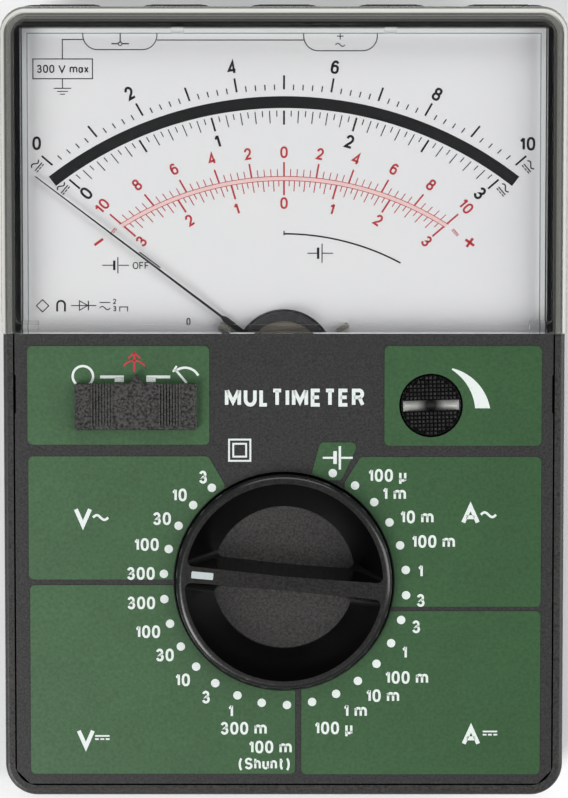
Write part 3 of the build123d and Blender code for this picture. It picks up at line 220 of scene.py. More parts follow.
# screen-printed inks on the dial and the panel
blackInk = screenInk("blackInk", "#0e0f10", "#1f2022", 0.35)
redInk = screenInk("redInk", "#b92f37", "#c95a5d")
pinkInk = screenInk("pinkInk", "#f3cfcc", "#f6dedb")
whiteInk = screenInk("whiteInk", "#dfe6e1", "#c3cbc5", 0.4)
# grey ink for a painted shadow along the dial's lip
lipShadowInk = screenInk("lipShadowInk", "#8f9899", "#a4abab")
markerPaint = screenInk("markerPaint", "#b8c2c0", "#a9b3b1", 0.4)

knobFinish = {"floor": -5.85, "top": 2.75, "gloss": "#060606",
              "floorDark": "#242322", "floorLight": "#454340"}


def makeKnobPlastic():
    # polished ABS: deep glossy black walls and edges; the mould leaves floors and top dull and flecked
    material, tree, place = startMaterial("polishedAbs")
    height = alongPanel(tree, place, panelNormal)
    spark = addNode(tree, "ShaderNodeTexNoise", {"Vector": place, "Scale": 1 / (0.4 * mm), "Detail": 2.0})
    fleck = addNode(tree, "ShaderNodeMapRange", {"Value": spark, "From Min": 0.36, "From Max": 0.64})
    floorShare = addNode(tree, "ShaderNodeMapRange", {
        "Value": height, "From Min": knobFinish["floor"] + 0.25, "From Max": knobFinish["floor"] + 0.1})
    topShare = addNode(tree, "ShaderNodeMapRange", {
        "Value": height, "From Min": knobFinish["top"] - 0.1, "From Max": knobFinish["top"] - 0.02,
        "To Max": 0.36})
    textured = addNode(tree, "ShaderNodeMath", {0: floorShare, 1: topShare}, operation="ADD")
    floorColour = addNode(tree, "ShaderNodeMix", {
        0: fleck, 6: toLinear(knobFinish["floorDark"]), 7: toLinear(knobFinish["floorLight"])},
        data_type="RGBA")
    colour = addNode(tree, "ShaderNodeMix", {
        0: textured, 6: toLinear(knobFinish["gloss"]), 7: floorColour.outputs[2]}, data_type="RGBA")
    rough = addNode(tree, "ShaderNodeMapRange", {"Value": textured, "To Min": 0.2, "To Max": 0.46})
    relief = addNode(tree, "ShaderNodeMapRange", {"Value": textured, "To Min": 0.06, "To Max": 1.0})
    bump = addNode(tree, "ShaderNodeBump", {
        "Height": spark, "Distance": 0.05 * mm, "Strength": relief})
    shader = addNode(tree, "ShaderNodeBsdfPrincipled", {
        "Base Color": colour.outputs[2], "Roughness": rough, "IOR": 1.53, "Normal": bump})
    return endMaterial(material, shader)


labelFilm = {"left": "#3b5c3b", "right": "#2c512c"}


def makeLabelFilm():
    # screen-printed polyester film: satin green, a little lighter to the left, mottled by the mesh
    material, tree, place = startMaterial("printedPolyester")
    across = alongPanel(tree, place, panelRight)
    side = addNode(tree, "ShaderNodeMapRange", {"Value": across, "From Min": -46.0, "From Max": 46.0})
    mesh = addNode(tree, "ShaderNodeTexNoise", {"Vector": place, "Scale": 1 / (0.55 * mm), "Detail": 2.0})
    cloud = addNode(tree, "ShaderNodeTexNoise", {"Vector": place, "Scale": 1 / (9 * mm), "Detail": 1.0})
    ground = addNode(tree, "ShaderNodeMix", {
        0: side, 6: toLinear(labelFilm["left"]), 7: toLinear(labelFilm["right"])}, data_type="RGBA")
    flecks = addNode(tree, "ShaderNodeMapRange", {
        "Value": mesh, "From Min": 0.3, "From Max": 0.7, "To Min": 0.84, "To Max": 1.16})
    clouds = addNode(tree, "ShaderNodeMapRange", {
        "Value": cloud, "From Min": 0.3, "From Max": 0.7, "To Min": 0.95, "To Max": 1.05})
    both = addNode(tree, "ShaderNodeMath", {0: flecks, 1: clouds}, operation="MULTIPLY")
    colour = addNode(tree, "ShaderNodeVectorMath", {0: ground.outputs[2], 3: both}, operation="SCALE")
    bump = addNode(tree, "ShaderNodeBump", {"Height": mesh, "Distance": 0.02 * mm})
    shader = addNode(tree, "ShaderNodeBsdfPrincipled", {
        "Base Color": colour, "Roughness": 0.4, "IOR": 1.57, "Normal": bump})
    return endMaterial(material, shader)


# the lip's whiter colour is a painted highlight on the raised lip
dialFinish = {"cool": "#ebeaee", "warm": "#edecea", "lip": "#fcfdfd", "lipFoot": -4.35}


def makeDialEnamel():
    # stove-enamelled sheet: matt cool white with a barely visible orange peel
    material, tree, place = startMaterial("dialEnamel")
    peel = addNode(tree, "ShaderNodeTexNoise", {"Vector": place, "Scale": 1 / (1.2 * mm), "Detail": 2.0})
    cloud = addNode(tree, "ShaderNodeTexNoise", {"Vector": place, "Scale": 1 / (22 * mm), "Detail": 1.0})
    colour = addNode(tree, "ShaderNodeMix", {
        0: cloud, 6: toLinear(dialFinish["cool"]), 7: toLinear(dialFinish["warm"])}, data_type="RGBA")
    # painted highlight: above its foot the raised lip turns whiter than the face, for the light it catches
    lip = addNode(tree, "ShaderNodeMapRange", {
        "Value": alongPanel(tree, place, panelNormal), "From Min": dialFinish["lipFoot"],
        "From Max": dialFinish["lipFoot"] + 0.1})
    whole = addNode(tree, "ShaderNodeMix", {
        0: lip, 6: colour.outputs[2], 7: toLinear(dialFinish["lip"])}, data_type="RGBA")
    bump = addNode(tree, "ShaderNodeBump", {"Height": peel, "Distance": 0.01 * mm})
    shader = addNode(tree, "ShaderNodeBsdfPrincipled", {
        "Base Color": whole.outputs[2], "Roughness": 0.55, "IOR": 1.5, "Normal": bump})
    return endMaterial(material, shader)


# painted highlight: pale bands on the cover's rounded rim
coverRimHighlight = {
    "across": 45.4, "up": 65.1,    # middles of the rim's corner rounds
    "spread": 5.0,                 # the bands lie within this many mm of those middles
    "colour": "#dcddd4",
    # share of the way to the edge, and how strong the painted highlight is there
    "bands": ((0.44, 0.0), (0.49, 0.06), (0.53, 0.01), (0.58, 0.14), (0.62, 0.03), (0.67, 0.17), (0.71, 0.02),
              (0.75, 0.05), (0.79, 0.75), (0.87, 0.85), (0.90, 0.25), (0.95, 0.02)),
}


def makeClearAcrylic():
    # clear moulded acrylic; lamps are let through it, so the dial under it is lit
    material, tree, place = startMaterial("clearAcrylic")
    flow = addNode(tree, "ShaderNodeTexNoise", {"Vector": place, "Scale": 1 / (18 * mm), "Detail": 1.0})
    bump = addNode(tree, "ShaderNodeBump", {"Height": flow, "Distance": 0.02 * mm})
    body = addNode(tree, "ShaderNodeBsdfPrincipled", {
        "Base Color": toLinear("#fcfdfc"), "Roughness": 0.02, "IOR": 1.49, "Transmission Weight": 1.0,
        "Normal": bump})
    # along the rounded rim a pale opaque coat is mixed in: painted highlight for the light the rim reflects
    across = addNode(tree, "ShaderNodeMath", {0: alongPanel(tree, place, panelRight)}, operation="ABSOLUTE")
    beside = addNode(tree, "ShaderNodeMath", {0: across, 1: coverRimHighlight["across"]}, operation="SUBTRACT")
    beyond = addNode(tree, "ShaderNodeMath", {0: alongPanel(tree, place, panelUp), 1: coverRimHighlight["up"]},
        operation="SUBTRACT")
    clamped = [addNode(tree, "ShaderNodeMath", {0: side, 1: 0.0}, operation="MAXIMUM")
               for side in (beside, beyond)]
    outward = addNode(tree, "ShaderNodeCombineXYZ", {0: clamped[0], 1: clamped[1]})
    reach = addNode(tree, "ShaderNodeVectorMath", {0: outward}, operation="LENGTH")
    ramp = addNode(tree, "ShaderNodeValToRGB", {0: addNode(tree, "ShaderNodeMath", {
        0: reach.outputs["Value"], 1: coverRimHighlight["spread"]}, operation="DIVIDE")})
    ramp.color_ramp.elements[0].position = coverRimHighlight["bands"][0][0]
    ramp.color_ramp.elements[0].color = (0, 0, 0, 1)
    ramp.color_ramp.elements[1].position = coverRimHighlight["bands"][-1][0]
    ramp.color_ramp.elements[1].color = [coverRimHighlight["bands"][-1][1]] * 3 + [1]
    for position, share in coverRimHighlight["bands"][1:-1]:
        ramp.color_ramp.elements.new(position).color = (share, share, share, 1)
    pale = addNode(tree, "ShaderNodeBsdfPrincipled", {
        "Base Color": toLinear(coverRimHighlight["colour"]), "Roughness": 0.25, "IOR": 1.49})
    withRimHighlight = addNode(tree, "ShaderNodeMixShader", {0: ramp, 1: body, 2: pale})
    through = addNode(tree, "ShaderNodeBsdfTransparent", {"Color": toLinear("#f7f7f7")})
    path = addNode(tree, "ShaderNodeLightPath").outputs
    passing = addNode(tree, "ShaderNodeMath", {0: path["Is Shadow Ray"], 1: path["Is Diffuse Ray"]},
        operation="MAXIMUM")
    shader = addNode(tree, "ShaderNodeMixShader", {0: passing, 1: withRimHighlight, 2: through})
    return endMaterial(material, shader)


def makeEpoxyBoard():
    # glass-epoxy laminate: green solder mask over a visible glass weave
    material, tree, place = startMaterial("glassEpoxy")
    threads = [addNode(tree, "ShaderNodeTexWave", {
        "Vector": place, "Scale": 1 / (0.9 * mm) / (2 * pi), "Distortion": 0.4},
        bands_direction=axis) for axis in "XY"]
    weave = addNode(tree, "ShaderNodeMath", {0: threads[0].outputs[1], 1: threads[1].outputs[1]},
        operation="MULTIPLY")
    colour = addNode(tree, "ShaderNodeMix", {
        0: weave, 6: toLinear("#2f5a2c"), 7: toLinear("#477a3c")}, data_type="RGBA")
    bump = addNode(tree, "ShaderNodeBump", {"Height": weave, "Distance": 0.02 * mm})
    shader = addNode(tree, "ShaderNodeBsdfPrincipled", {
        "Base Color": colour.outputs[2], "Roughness": 0.3, "IOR": 1.55, "Normal": bump})
    return endMaterial(material, shader)


resistorRows = {"pitch": 13.0, "shift": 197.0}    # mm between the rows, and to before the first


def makeBandedLacquer():
    # lacquered resistor bodies: buff, with colour rings laid out from the middle of each row
    material, tree, place = startMaterial("bandedLacquer")
    along = alongPanel(tree, place, panelUp)
    rows = addNode(tree, "ShaderNodeMath", {0: along, 1: resistorRows["shift"]}, operation="ADD")
    within = addNode(tree, "ShaderNodeMath", {0: rows, 1: resistorRows["pitch"]}, operation="MODULO")
    share = addNode(tree, "ShaderNodeMath", {0: within, 1: resistorRows["pitch"]}, operation="DIVIDE")
    ramp = addNode(tree, "ShaderNodeValToRGB", {0: share})
    ramp.color_ramp.interpolation = "CONSTANT"
    buff = "#c9a877"
    rings = ((0.34, "#7a2c18"), (0.38, buff), (0.44, "#1a1a1a"), (0.48, buff), (0.54, "#b8651a"),
             (0.58, buff), (0.63, "#c8a23c"), (0.66, buff))
    ramp.color_ramp.elements[0].color = toLinear(buff)
    ramp.color_ramp.elements[1].position = rings[0][0]
    ramp.color_ramp.elements[1].color = toLinear(rings[0][1])
    for position, colour in rings[1:]:
        ramp.color_ramp.elements.new(position).color = toLinear(colour)
    flow = addNode(tree, "ShaderNodeTexNoise", {
        "Vector": place, "Scale": 1 / (1.5 * mm)})
    bump = addNode(tree, "ShaderNodeBump", {"Height": flow, "Distance": 0.04 * mm})
    shader = addNode(tree, "ShaderNodeBsdfPrincipled", {
        "Base Color": ramp, "Roughness": 0.2, "IOR": 1.5, "Normal": bump})
    return endMaterial(material, shader)


def makeWinding():
    # enamelled copper wire, wound: turns 0.12 mm apart are drawn at 0.3 mm so that they show
    material, tree, place = startMaterial("enamelledWinding")
    turns = addNode(tree, "ShaderNodeTexWave", {
        "Vector": place, "Scale": 1 / (0.3 * mm) / (2 * pi), "Distortion": 0.3}, bands_direction="Y")
    colour = addNode(tree, "ShaderNodeMix", {
        0: turns.outputs[1], 6: toLinear("#7a3818"), 7: toLinear("#c8743c")}, data_type="RGBA")
    bump = addNode(tree, "ShaderNodeBump", {"Height": turns.outputs[1], "Distance": 0.06 * mm})
    shader = addNode(tree, "ShaderNodeBsdfPrincipled", {
        "Base Color": colour.outputs[2], "Metallic": 0.8, "Roughness": 0.3, "Normal": bump})
    return endMaterial(material, shader)


def makeStripedSleeve(name, ground, stripe, axis, period, share):
    # printed sleeve or jacket: a band of a second colour, and the wrinkles that shrinking leaves
    material, tree, place = startMaterial(name)
    parts = addNode(tree, "ShaderNodeSeparateXYZ", {0: place})
    cycles = addNode(tree, "ShaderNodeMath", {0: parts.outputs[axis], 1: 1 / (period * mm)},
        operation="MULTIPLY")
    lane = addNode(tree, "ShaderNodeMath", {0: cycles}, operation="FRACT")
    banded = addNode(tree, "ShaderNodeMath", {0: lane, 1: share}, operation="LESS_THAN")
    colour = addNode(tree, "ShaderNodeMix", {
        0: banded, 6: toLinear(ground), 7: toLinear(stripe)}, data_type="RGBA")
    wrinkle = addNode(tree, "ShaderNodeTexNoise", {"Vector": place, "Scale": 1 / (2.5 * mm), "Detail": 3.0})
    rough = addNode(tree, "ShaderNodeMapRange", {"Value": wrinkle, "To Min": 0.2, "To Max": 0.45})
    bump = addNode(tree, "ShaderNodeBump", {"Height": wrinkle, "Distance": 0.03 * mm})
    shader = addNode(tree, "ShaderNodeBsdfPrincipled", {
        "Base Color": colour.outputs[2], "Roughness": rough, "IOR": 1.5, "Normal": bump})
    return endMaterial(material, shader)


def makeFuseGlass():
    # a glass tube with plated end caps
    material, tree, place = startMaterial("cappedGlassTube")
    across = alongPanel(tree, place, panelRight)
    reach = addNode(tree, "ShaderNodeMath", {0: across}, operation="ABSOLUTE")
    capped = addNode(tree, "ShaderNodeMath", {0: reach, 1: 6.0}, operation="GREATER_THAN")
    scratch = addNode(tree, "ShaderNodeTexNoise", {"Vector": place, "Scale": 1 / (0.6 * mm)})
    rough = addNode(tree, "ShaderNodeMapRange", {"Value": scratch, "To Min": 0.15, "To Max": 0.35})
    caps = addNode(tree, "ShaderNodeBsdfPrincipled", {
        "Base Color": toLinear("#cfd1d3"), "Metallic": 1.0, "Roughness": rough})
    tube = addNode(tree, "ShaderNodeBsdfPrincipled", {
        "Base Color": toLinear("#e9f2ee"), "Roughness": 0.03, "IOR": 1.52, "Transmission Weight": 1.0})
    shader = addNode(tree, "ShaderNodeMixShader", {0: capped, 1: tube, 2: caps})
    return endMaterial(material, shader)


# the well colour is painted shade inside the dial well
panelFinish = {"dark": "#141313", "light": "#323130", "well": "#070809", "wellStart": 12.3}


def makePanelPlastic():
    # the front moulding: spark-eroded where it is handled; inside the dial well it is smooth, and its
    # near-black colour is painted shade under the cover
    material, tree, place = startMaterial("panelAbs")
    spark = addNode(tree, "ShaderNodeTexNoise", {"Vector": place, "Scale": 1 / (0.34 * mm), "Detail": 2.0})
    fleck = addNode(tree, "ShaderNodeMapRange", {"Value": spark, "From Min": 0.3, "From Max": 0.7})
    textured = addNode(tree, "ShaderNodeMix", {
        0: fleck, 6: toLinear(panelFinish["dark"]), 7: toLinear(panelFinish["light"])}, data_type="RGBA")
    # painted shade: inside the dial well the colour goes near black; the smoother, less bumpy finish there is
    # the moulding's own
    well = addNode(tree, "ShaderNodeMapRange", {
        "Value": alongPanel(tree, place, panelUp), "From Min": panelFinish["wellStart"],
        "From Max": panelFinish["wellStart"] + 0.1})
    colour = addNode(tree, "ShaderNodeMix", {
        0: well, 6: textured.outputs[2], 7: toLinear(panelFinish["well"])}, data_type="RGBA")
    rough = addNode(tree, "ShaderNodeMapRange", {"Value": well, "To Min": 0.45, "To Max": 0.22})
    relief = addNode(tree, "ShaderNodeMapRange", {"Value": well, "To Min": 1.0, "To Max": 0.1})
    bump = addNode(tree, "ShaderNodeBump", {
        "Height": spark, "Distance": 0.035 * mm, "Strength": relief})
    shader = addNode(tree, "ShaderNodeBsdfPrincipled", {
        "Base Color": colour.outputs[2], "Roughness": rough, "IOR": 1.53, "Normal": bump})
    return endMaterial(material, shader)


finishes = {
    "black_abs": sparkErodedAbs, "knob_black": makeKnobPlastic(), "clear_cover": makeClearAcrylic(),
    "label_green": makeLabelFilm(), "dial_white": makeDialEnamel(), "print_white": whiteInk,
    "print_black": blackInk, "print_red": redInk,
    "pointer_black": mouldedPlastic("stoveLacquer", "#0f1011", "#1b1c1e", 0.3, 0.004, (0.3, 0.45)),
    "steel_zinc": zincPlatedSteel, "soft_iron": nickelPlatedIron, "brass_plated": turnedBrass,
    "spring_bronze": phosphorBronze, "copper_coil": makeWinding(), "magnet_alnico": castAlnico,
    "alu_grey": satinAluminium, "board_epoxy": makeEpoxyBoard(), "track_gold": goldPlatedCopper,
    "component_body": makeBandedLacquer(), "component_black": mouldedPhenolic,
    "capacitor_sleeve": makeStripedSleeve("shrinkSleeve", "#16264f", "#c9ccd2", "X", 8.5, 0.2),
    "film_red": dippedEpoxy, "trimmer_blue": trimmerNylon, "fuse_glass": makeFuseGlass(),
    "battery_shell": makeStripedSleeve("printedSteelJacket", "#1d1f22", "#b2793a", "Y", 64.0, 0.32),
    "battery_foam": closedCellFoam, "lead_red": redPvc, "lead_black": blackPvc,
}
ownFinish = {
    "front_panel": makePanelPlastic(),
    "slide_knob": slideAcetal,
    "knob_marker": markerPaint,
    "pointer_stops": mouldedPlastic("smokedNylon", "#77746b", "#8a877d", 0.5, 0.01, (0.35, 0.5)),
    "jewel_plate": workedMetal("blastedAluminium", "#5f5a53", "#77726a", 0.25, 0.02, (0.45, 0.6)),
}
for nodeName, node in frame["nodes"].items():
    for place in node.material_slots:
        slotName = place.material.name.split(".")[0]
        place.material = ownFinish.get(nodeName, finishes[slotName])
print("materials made:", len(finishes))


# ink: flat closed slabs in millimetres on a plane, brought to the frame at the end
def slabStrip(ink, lefts, rights, layer, closed=False):
    # a ribbon between two rows of points; layer is the height of its foot and of its top
    low, high = layer
    rows = []
    for left, right in zip(lefts, rights):
        corners = ((left, low), (right, low), (right, high), (left, high))
        rows.append([ink.verts.new((spot[0], spot[1], height)) for spot, height in corners])
    pairs = list(zip(rows, rows[1:] + rows[:1])) if closed else list(zip(rows, rows[1:]))
    for here, there in pairs:
        for corner in range(4):
            following = (corner + 1) % 4
            ink.faces.new((here[corner], here[following], there[following], there[corner]))
    if not closed:
        ink.faces.new(rows[0][::-1])
        ink.faces.new(rows[-1])


def stroke(ink, points, width, layer, closed=False):
    # a pen line of even width through the points
    spots = [Vector(point[:2]) for point in points]
    count = len(spots)
    lefts, rights = [], []
    for index, spot in enumerate(spots):
        before = spots[index - 1] if closed or index else spot
        after = spots[(index + 1) % count] if closed or index < count - 1 else spot
        arriving = (spot - before).normalized() if spot != before else (after - spot).normalized()
        leaving = (after - spot).normalized() if after != spot else arriving
        side = Vector((-(arriving + leaving).y, (arriving + leaving).x)).normalized()
        square = Vector((-arriving.y, arriving.x))
        reach = width / 2 / max(side.dot(square), 0.35)
        lefts.append(spot + side * reach)
        rights.append(spot - side * reach)
    slabStrip(ink, lefts, rights, layer, closed)


def arcPoints(centre, radius, start, end, steps=24):
    # degrees counted from straight up, to the left
    turns = [radians(start + (end - start) * step / steps) for step in range(steps + 1)]
    return [(centre[0] - radius * sin(turn), centre[1] + radius * cos(turn)) for turn in turns]


def ringPoints(centre, radius, steps=28):
    return arcPoints(centre, radius, 0, 360, steps)[:-1]


def turned(points, centre, angle):
    # points laid out about the origin, turned and moved to their place
    c, s = cos(radians(angle)), sin(radians(angle))
    return [(centre[0] + x * c - y * s, centre[1] + x * s + y * c) for x, y in points]


def bow(x, y, wide, tall, start, end, steps=10):
    # part of an oval, in degrees from its right-hand side, anticlockwise
    turns = [radians(start + (end - start) * step / steps) for step in range(steps + 1)]
    return [(x + wide * cos(turn), y + tall * sin(turn)) for turn in turns]


def oval(x, y, wide, tall, square=0.82, steps=20):
    # a closed, slightly squared oval
    turns = [2 * pi * step / steps for step in range(steps)]
    return [(x + wide * copysign(abs(cos(turn)) ** square, cos(turn)),
             y + tall * copysign(abs(sin(turn)) ** square, sin(turn))) for turn in turns]


# plain upright letters: width, then pen lines in a box one wide and one high
# a line that closes on itself starts with "ring"
letters = {
    "0": (0.64, ("ring", oval(0.5, 0.5, 0.5, 0.5))),
    "1": (0.40, [(0, 0.76), (0.5, 0.8), (0.9, 1)], [(1, 1), (1, 0)]),
    "2": (0.62, bow(0.5, 0.71, 0.46, 0.29, 178, -25) + [(0.72, 0.42), (0.3, 0.2), (0.04, 0), (1, 0)]),
    "3": (0.63, bow(0.47, 0.75, 0.42, 0.25, 168, -84) + bow(0.5, 0.255, 0.48, 0.265, 84, -168)),
    "4": (0.67, [(0.74, 0), (0.74, 1), (0, 0.28), (1, 0.28)]),
    "6": (0.63, bow(0.53, 0.56, 0.5, 0.44, 42, 180) + [(0.03, 0.35)], ("ring", oval(0.5, 0.31, 0.47, 0.31))),
    "8": (0.63, ("ring", oval(0.5, 0.76, 0.41, 0.24)), ("ring", oval(0.5, 0.265, 0.48, 0.265))),
    "m": (0.96, [(0, 0), (0, 0.74)], [(0, 0.46)] + bow(0.25, 0.48, 0.25, 0.26, 180, 0) + [(0.5, 0)],
          [(0.5, 0.46)] + bow(0.75, 0.48, 0.25, 0.26, 180, 0) + [(1, 0)]),
    "n": (0.56, [(0, 0), (0, 0.74)], [(0, 0.46)] + bow(0.5, 0.48, 0.5, 0.26, 180, 0) + [(1, 0)]),
    "h": (0.56, [(0, 0), (0, 1)], [(0, 0.46)] + bow(0.5, 0.48, 0.5, 0.26, 180, 0) + [(1, 0)]),
    "u": (0.56, [(0, 0.74), (0, 0.25)] + bow(0.5, 0.25, 0.5, 0.25, 180, 360), [(1, 0), (1, 0.74)]),
    "µ": (0.56, [(0, -0.3), (0, 0.74)], [(0, 0.25)] + bow(0.5, 0.25, 0.5, 0.25, 180, 360),
    [(1, 0), (1, 0.74)]),
    "t": (0.44, [(0.4, 1.0), (0.4, 0.18), (0.62, 0), (1, 0)], [(0, 0.74), (1, 0.74)]),
    "a": (0.56, ("ring", oval(0.46, 0.34, 0.46, 0.34)), [(1, 0), (1, 0.72)]),
    "x": (0.56, [(0, 0), (1, 0.72)], [(0, 0.72), (1, 0)]),
    "V": (0.9, [(0, 1), (0.5, 0), (1, 1)]),
    "A": (0.92, [(0, 0), (0.5, 1), (1, 0)], [(0.2, 0.33), (0.8, 0.33)]),
    "O": (0.78, ("ring", oval(0.5, 0.5, 0.5, 0.5, 0.9))),
    "F": (0.60, [(0, 0), (0, 1), (1, 1)], [(0, 0.5), (0.86, 0.5)]),
    "S": (0.68, bow(0.5, 0.75, 0.46, 0.25, 15, 262) + bow(0.5, 0.25, 0.48, 0.25, 82, -165)),
    "M": (0.9, [(0, 0), (0, 1)], [(0.05, 1), (0.5, 0.2), (0.95, 1)], [(1, 1), (1, 0)]),
    "U": (0.72, [(0, 1), (0, 0.38)] + bow(0.5, 0.38, 0.5, 0.38, 180, 360) + [(1, 1)]),
    "L": (0.52, [(0, 1), (0, 0), (1, 0)]),
    "T": (0.64, [(0, 1), (1, 1)], [(0.5, 1), (0.5, 0)]),
    "I": (0.2, [(0.5, 0), (0.5, 1)]),
    "E": (0.60, [(1, 0), (0, 0), (0, 1), (1, 1)], [(0, 0.52), (0.9, 0.52)]),
    "R": (0.70, [(0, 0), (0, 1), (0.6, 1)] + bow(0.6, 0.76, 0.36, 0.24, 80, -80) + [(0.6, 0.52), (0, 0.52)],
          [(0.62, 0.52), (1, 0)]),
    "(": (0.38, bow(1.3, 0.42, 1.3, 0.66, 115, 245)),
    ")": (0.38, bow(-0.3, 0.42, 1.3, 0.66, 65, -65)),
    " ": (0.22,),
}


def lettering(ink, words, spot, cap, layer, turn=0.0, weight=0.15, gap=0.13, stretch=1.0):
    # words centred on a spot; cap is the capital height, weight the pen's share of it
    whole = sum(letters[letter][0] for letter in words) + gap * (len(words) - 1)
    start = -whole / 2
    for letter in words:
        width, *lines = letters[letter]
        for line in lines:
            closed = line[0] == "ring"
            placed = [((start + weight / 2 + x * (width - weight)) * cap * stretch,
                       (weight / 2 + y * (1 - weight) - 0.5) * cap) for x, y in (line[1] if closed else line)]
            stroke(ink, turned(placed, spot, turn), weight * cap, layer, closed)
        start += width + gap


def tilde(ink, spot, width, thick, layer, turn=0.0):
    wave = [(width * (step / 12 - 0.5), width * 0.16 * sin(2 * pi * step / 12)) for step in range(13)]
    stroke(ink, turned(wave, spot, turn), thick, layer)


def directCurrent(ink, spot, width, thick, layer, turn=0.0):
    # a whole line over a broken one
    stroke(ink, turned([(-width / 2, thick * 0.9), (width / 2, thick * 0.9)], spot, turn), thick, layer)
    dash = width / 3.8
    for place in (-1, 0, 1):
        middle = place * (width - dash) / 2
        ends = [(middle - dash / 2, -thick * 1.1), (middle + dash / 2, -thick * 1.1)]
        stroke(ink, turned(ends, spot, turn), thick, layer)


def finishPiece(shape, name, place, material, body):
    # bring a shape drawn in millimetres to its place, and give it its body
    shape.transform(place)
    bmesh.ops.recalc_face_normals(shape, faces=shape.faces)
    mesh = bpy.data.meshes.new(name)
    shape.to_mesh(mesh)
    shape.free()
    mesh.materials.clear()    # this also puts every face back on the first slot
    mesh.materials.append(material)
    piece = bpy.data.objects.new(name, mesh)
    scene.collection.objects.link(piece)
    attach(piece, body)
    print("made", name, "with", len(mesh.polygons), "faces")


# Geometry Nodes trees
def startTree(name, sockets):
    tree = bpy.data.node_groups.new(name, "GeometryNodeTree")
    tree.interface.new_socket("Geometry", in_out="OUTPUT", socket_type="NodeSocketGeometry")
    for label, kind in sockets:
        tree.interface.new_socket(label, in_out="INPUT", socket_type="NodeSocket" + kind)
    return tree, addNode(tree, "NodeGroupInput").outputs


def endTree(tree, given, instances):
    whole = addNode(tree, "GeometryNodeRealizeInstances", {0: instances})
    painted = addNode(tree, "GeometryNodeSetMaterial", {"Geometry": whole, "Material": given["Material"]})
    addNode(tree, "NodeGroupOutput", {0: painted})
    return tree


def makeTickTree():
    # scale marks: they point at the pivot, and their middles lie on an arc whose centre is below the pivot
    tree, given = startTree("scaleMarks", (
        ("Count", "Int"), ("First Angle", "Float"), ("Angle Step", "Float"), ("Arc Radius", "Float"),
        ("Centre Drop", "Float"), ("Length", "Float"), ("Width", "Float"), ("Thickness", "Float"),
        ("Leave Out Every", "Int"), ("Material", "Material")))
    index = addNode(tree, "GeometryNodeInputIndex")
    angle = addNode(tree, "ShaderNodeMath", {0: index, 1: given["Angle Step"], 2: given["First Angle"]},
        operation="MULTIPLY_ADD")
    sums = {"angle": angle, "drop": given["Centre Drop"], "arc": given["Arc Radius"]}
    for name, operation, *sides in (
        ("sine", "SINE", "angle"), ("cosine", "COSINE", "angle"), ("aside", "MULTIPLY", "sine", "drop"),
        ("below", "MULTIPLY", "cosine", "drop"), ("asideSquare", "MULTIPLY", "aside", "aside"),
        ("arcSquare", "MULTIPLY", "arc", "arc"), ("rest", "SUBTRACT", "arcSquare", "asideSquare"),
        ("root", "SQRT", "rest"), ("reach", "SUBTRACT", "root", "below"), ("away", "MULTIPLY", "reach", -1.0),
        ("x", "MULTIPLY", "away", "sine"), ("y", "MULTIPLY", "reach", "cosine"),
    ):
        terms = {place: sums.get(side, side) for place, side in enumerate(sides)}
        sums[name] = addNode(tree, "ShaderNodeMath", terms, operation=operation)
    spot = addNode(tree, "ShaderNodeCombineXYZ", {0: sums["x"], 1: sums["y"]})
    turn = addNode(tree, "ShaderNodeCombineXYZ", {2: angle})
    points = addNode(tree, "GeometryNodePoints", {"Count": given["Count"], "Position": spot})
    within = addNode(tree, "ShaderNodeMath", {0: index, 1: given["Leave Out Every"]}, operation="MODULO")
    always = addNode(tree, "ShaderNodeMath", {0: given["Leave Out Every"], 1: 0.5}, operation="LESS_THAN")
    kept = addNode(tree, "ShaderNodeMath", {0: within, 1: always}, operation="ADD")
    chosen = addNode(tree, "ShaderNodeMath", {0: kept, 1: 0.5}, operation="GREATER_THAN")
    size = addNode(tree, "ShaderNodeCombineXYZ", {
        0: given["Width"], 1: given["Length"], 2: given["Thickness"]})
    mark = addNode(tree, "GeometryNodeMeshCube", {"Size": size})
    placed = addNode(tree, "GeometryNodeInstanceOnPoints", {
        "Points": points, "Selection": chosen, "Instance": mark, "Rotation": turn})
    return endTree(tree, given, placed)


def makeDotTree():
    # round dots evenly spaced on a circle
    tree, given = startTree("dotRing", (
        ("Count", "Int"), ("First Angle", "Float"), ("Angle Step", "Float"), ("Ring Radius", "Float"),
        ("Dot Radius", "Float"), ("Thickness", "Float"), ("Material", "Material")))
    index = addNode(tree, "GeometryNodeInputIndex")
    angle = addNode(tree, "ShaderNodeMath", {0: index, 1: given["Angle Step"], 2: given["First Angle"]},
        operation="MULTIPLY_ADD")
    ring = [addNode(tree, "ShaderNodeMath", {0: angle}, operation=wave) for wave in ("COSINE", "SINE")]
    reach = [addNode(tree, "ShaderNodeMath", {0: side, 1: given["Ring Radius"]}, operation="MULTIPLY")
             for side in ring]
    spot = addNode(tree, "ShaderNodeCombineXYZ", {0: reach[0], 1: reach[1]})
    points = addNode(tree, "GeometryNodePoints", {"Count": given["Count"], "Position": spot})
    dot = addNode(tree, "GeometryNodeMeshCylinder", {
        "Vertices": 24, "Radius": given["Dot Radius"], "Depth": given["Thickness"]})
    placed = addNode(tree, "GeometryNodeInstanceOnPoints", {"Points": points, "Instance": dot})
    return endTree(tree, given, placed)


def makeRibTree():
    # half-round finger ribs, side by side
    tree, given = startTree("fingerRibs", (
        ("Count", "Int"), ("Pitch", "Float"), ("Rib Radius", "Float"), ("Length", "Float"),
        ("Material", "Material")))
    steps = addNode(tree, "ShaderNodeCombineXYZ", {0: given["Pitch"]})
    line = addNode(tree, "GeometryNodeMeshLine", {"Count": given["Count"], "Offset": steps})
    rib = addNode(tree, "GeometryNodeMeshCylinder", {
        "Vertices": 12, "Radius": given["Rib Radius"], "Depth": given["Length"]})
    placed = addNode(tree, "GeometryNodeInstanceOnPoints", {
        "Points": line, "Instance": rib, "Rotation": (pi / 2, 0, 0)})
    return endTree(tree, given, placed)


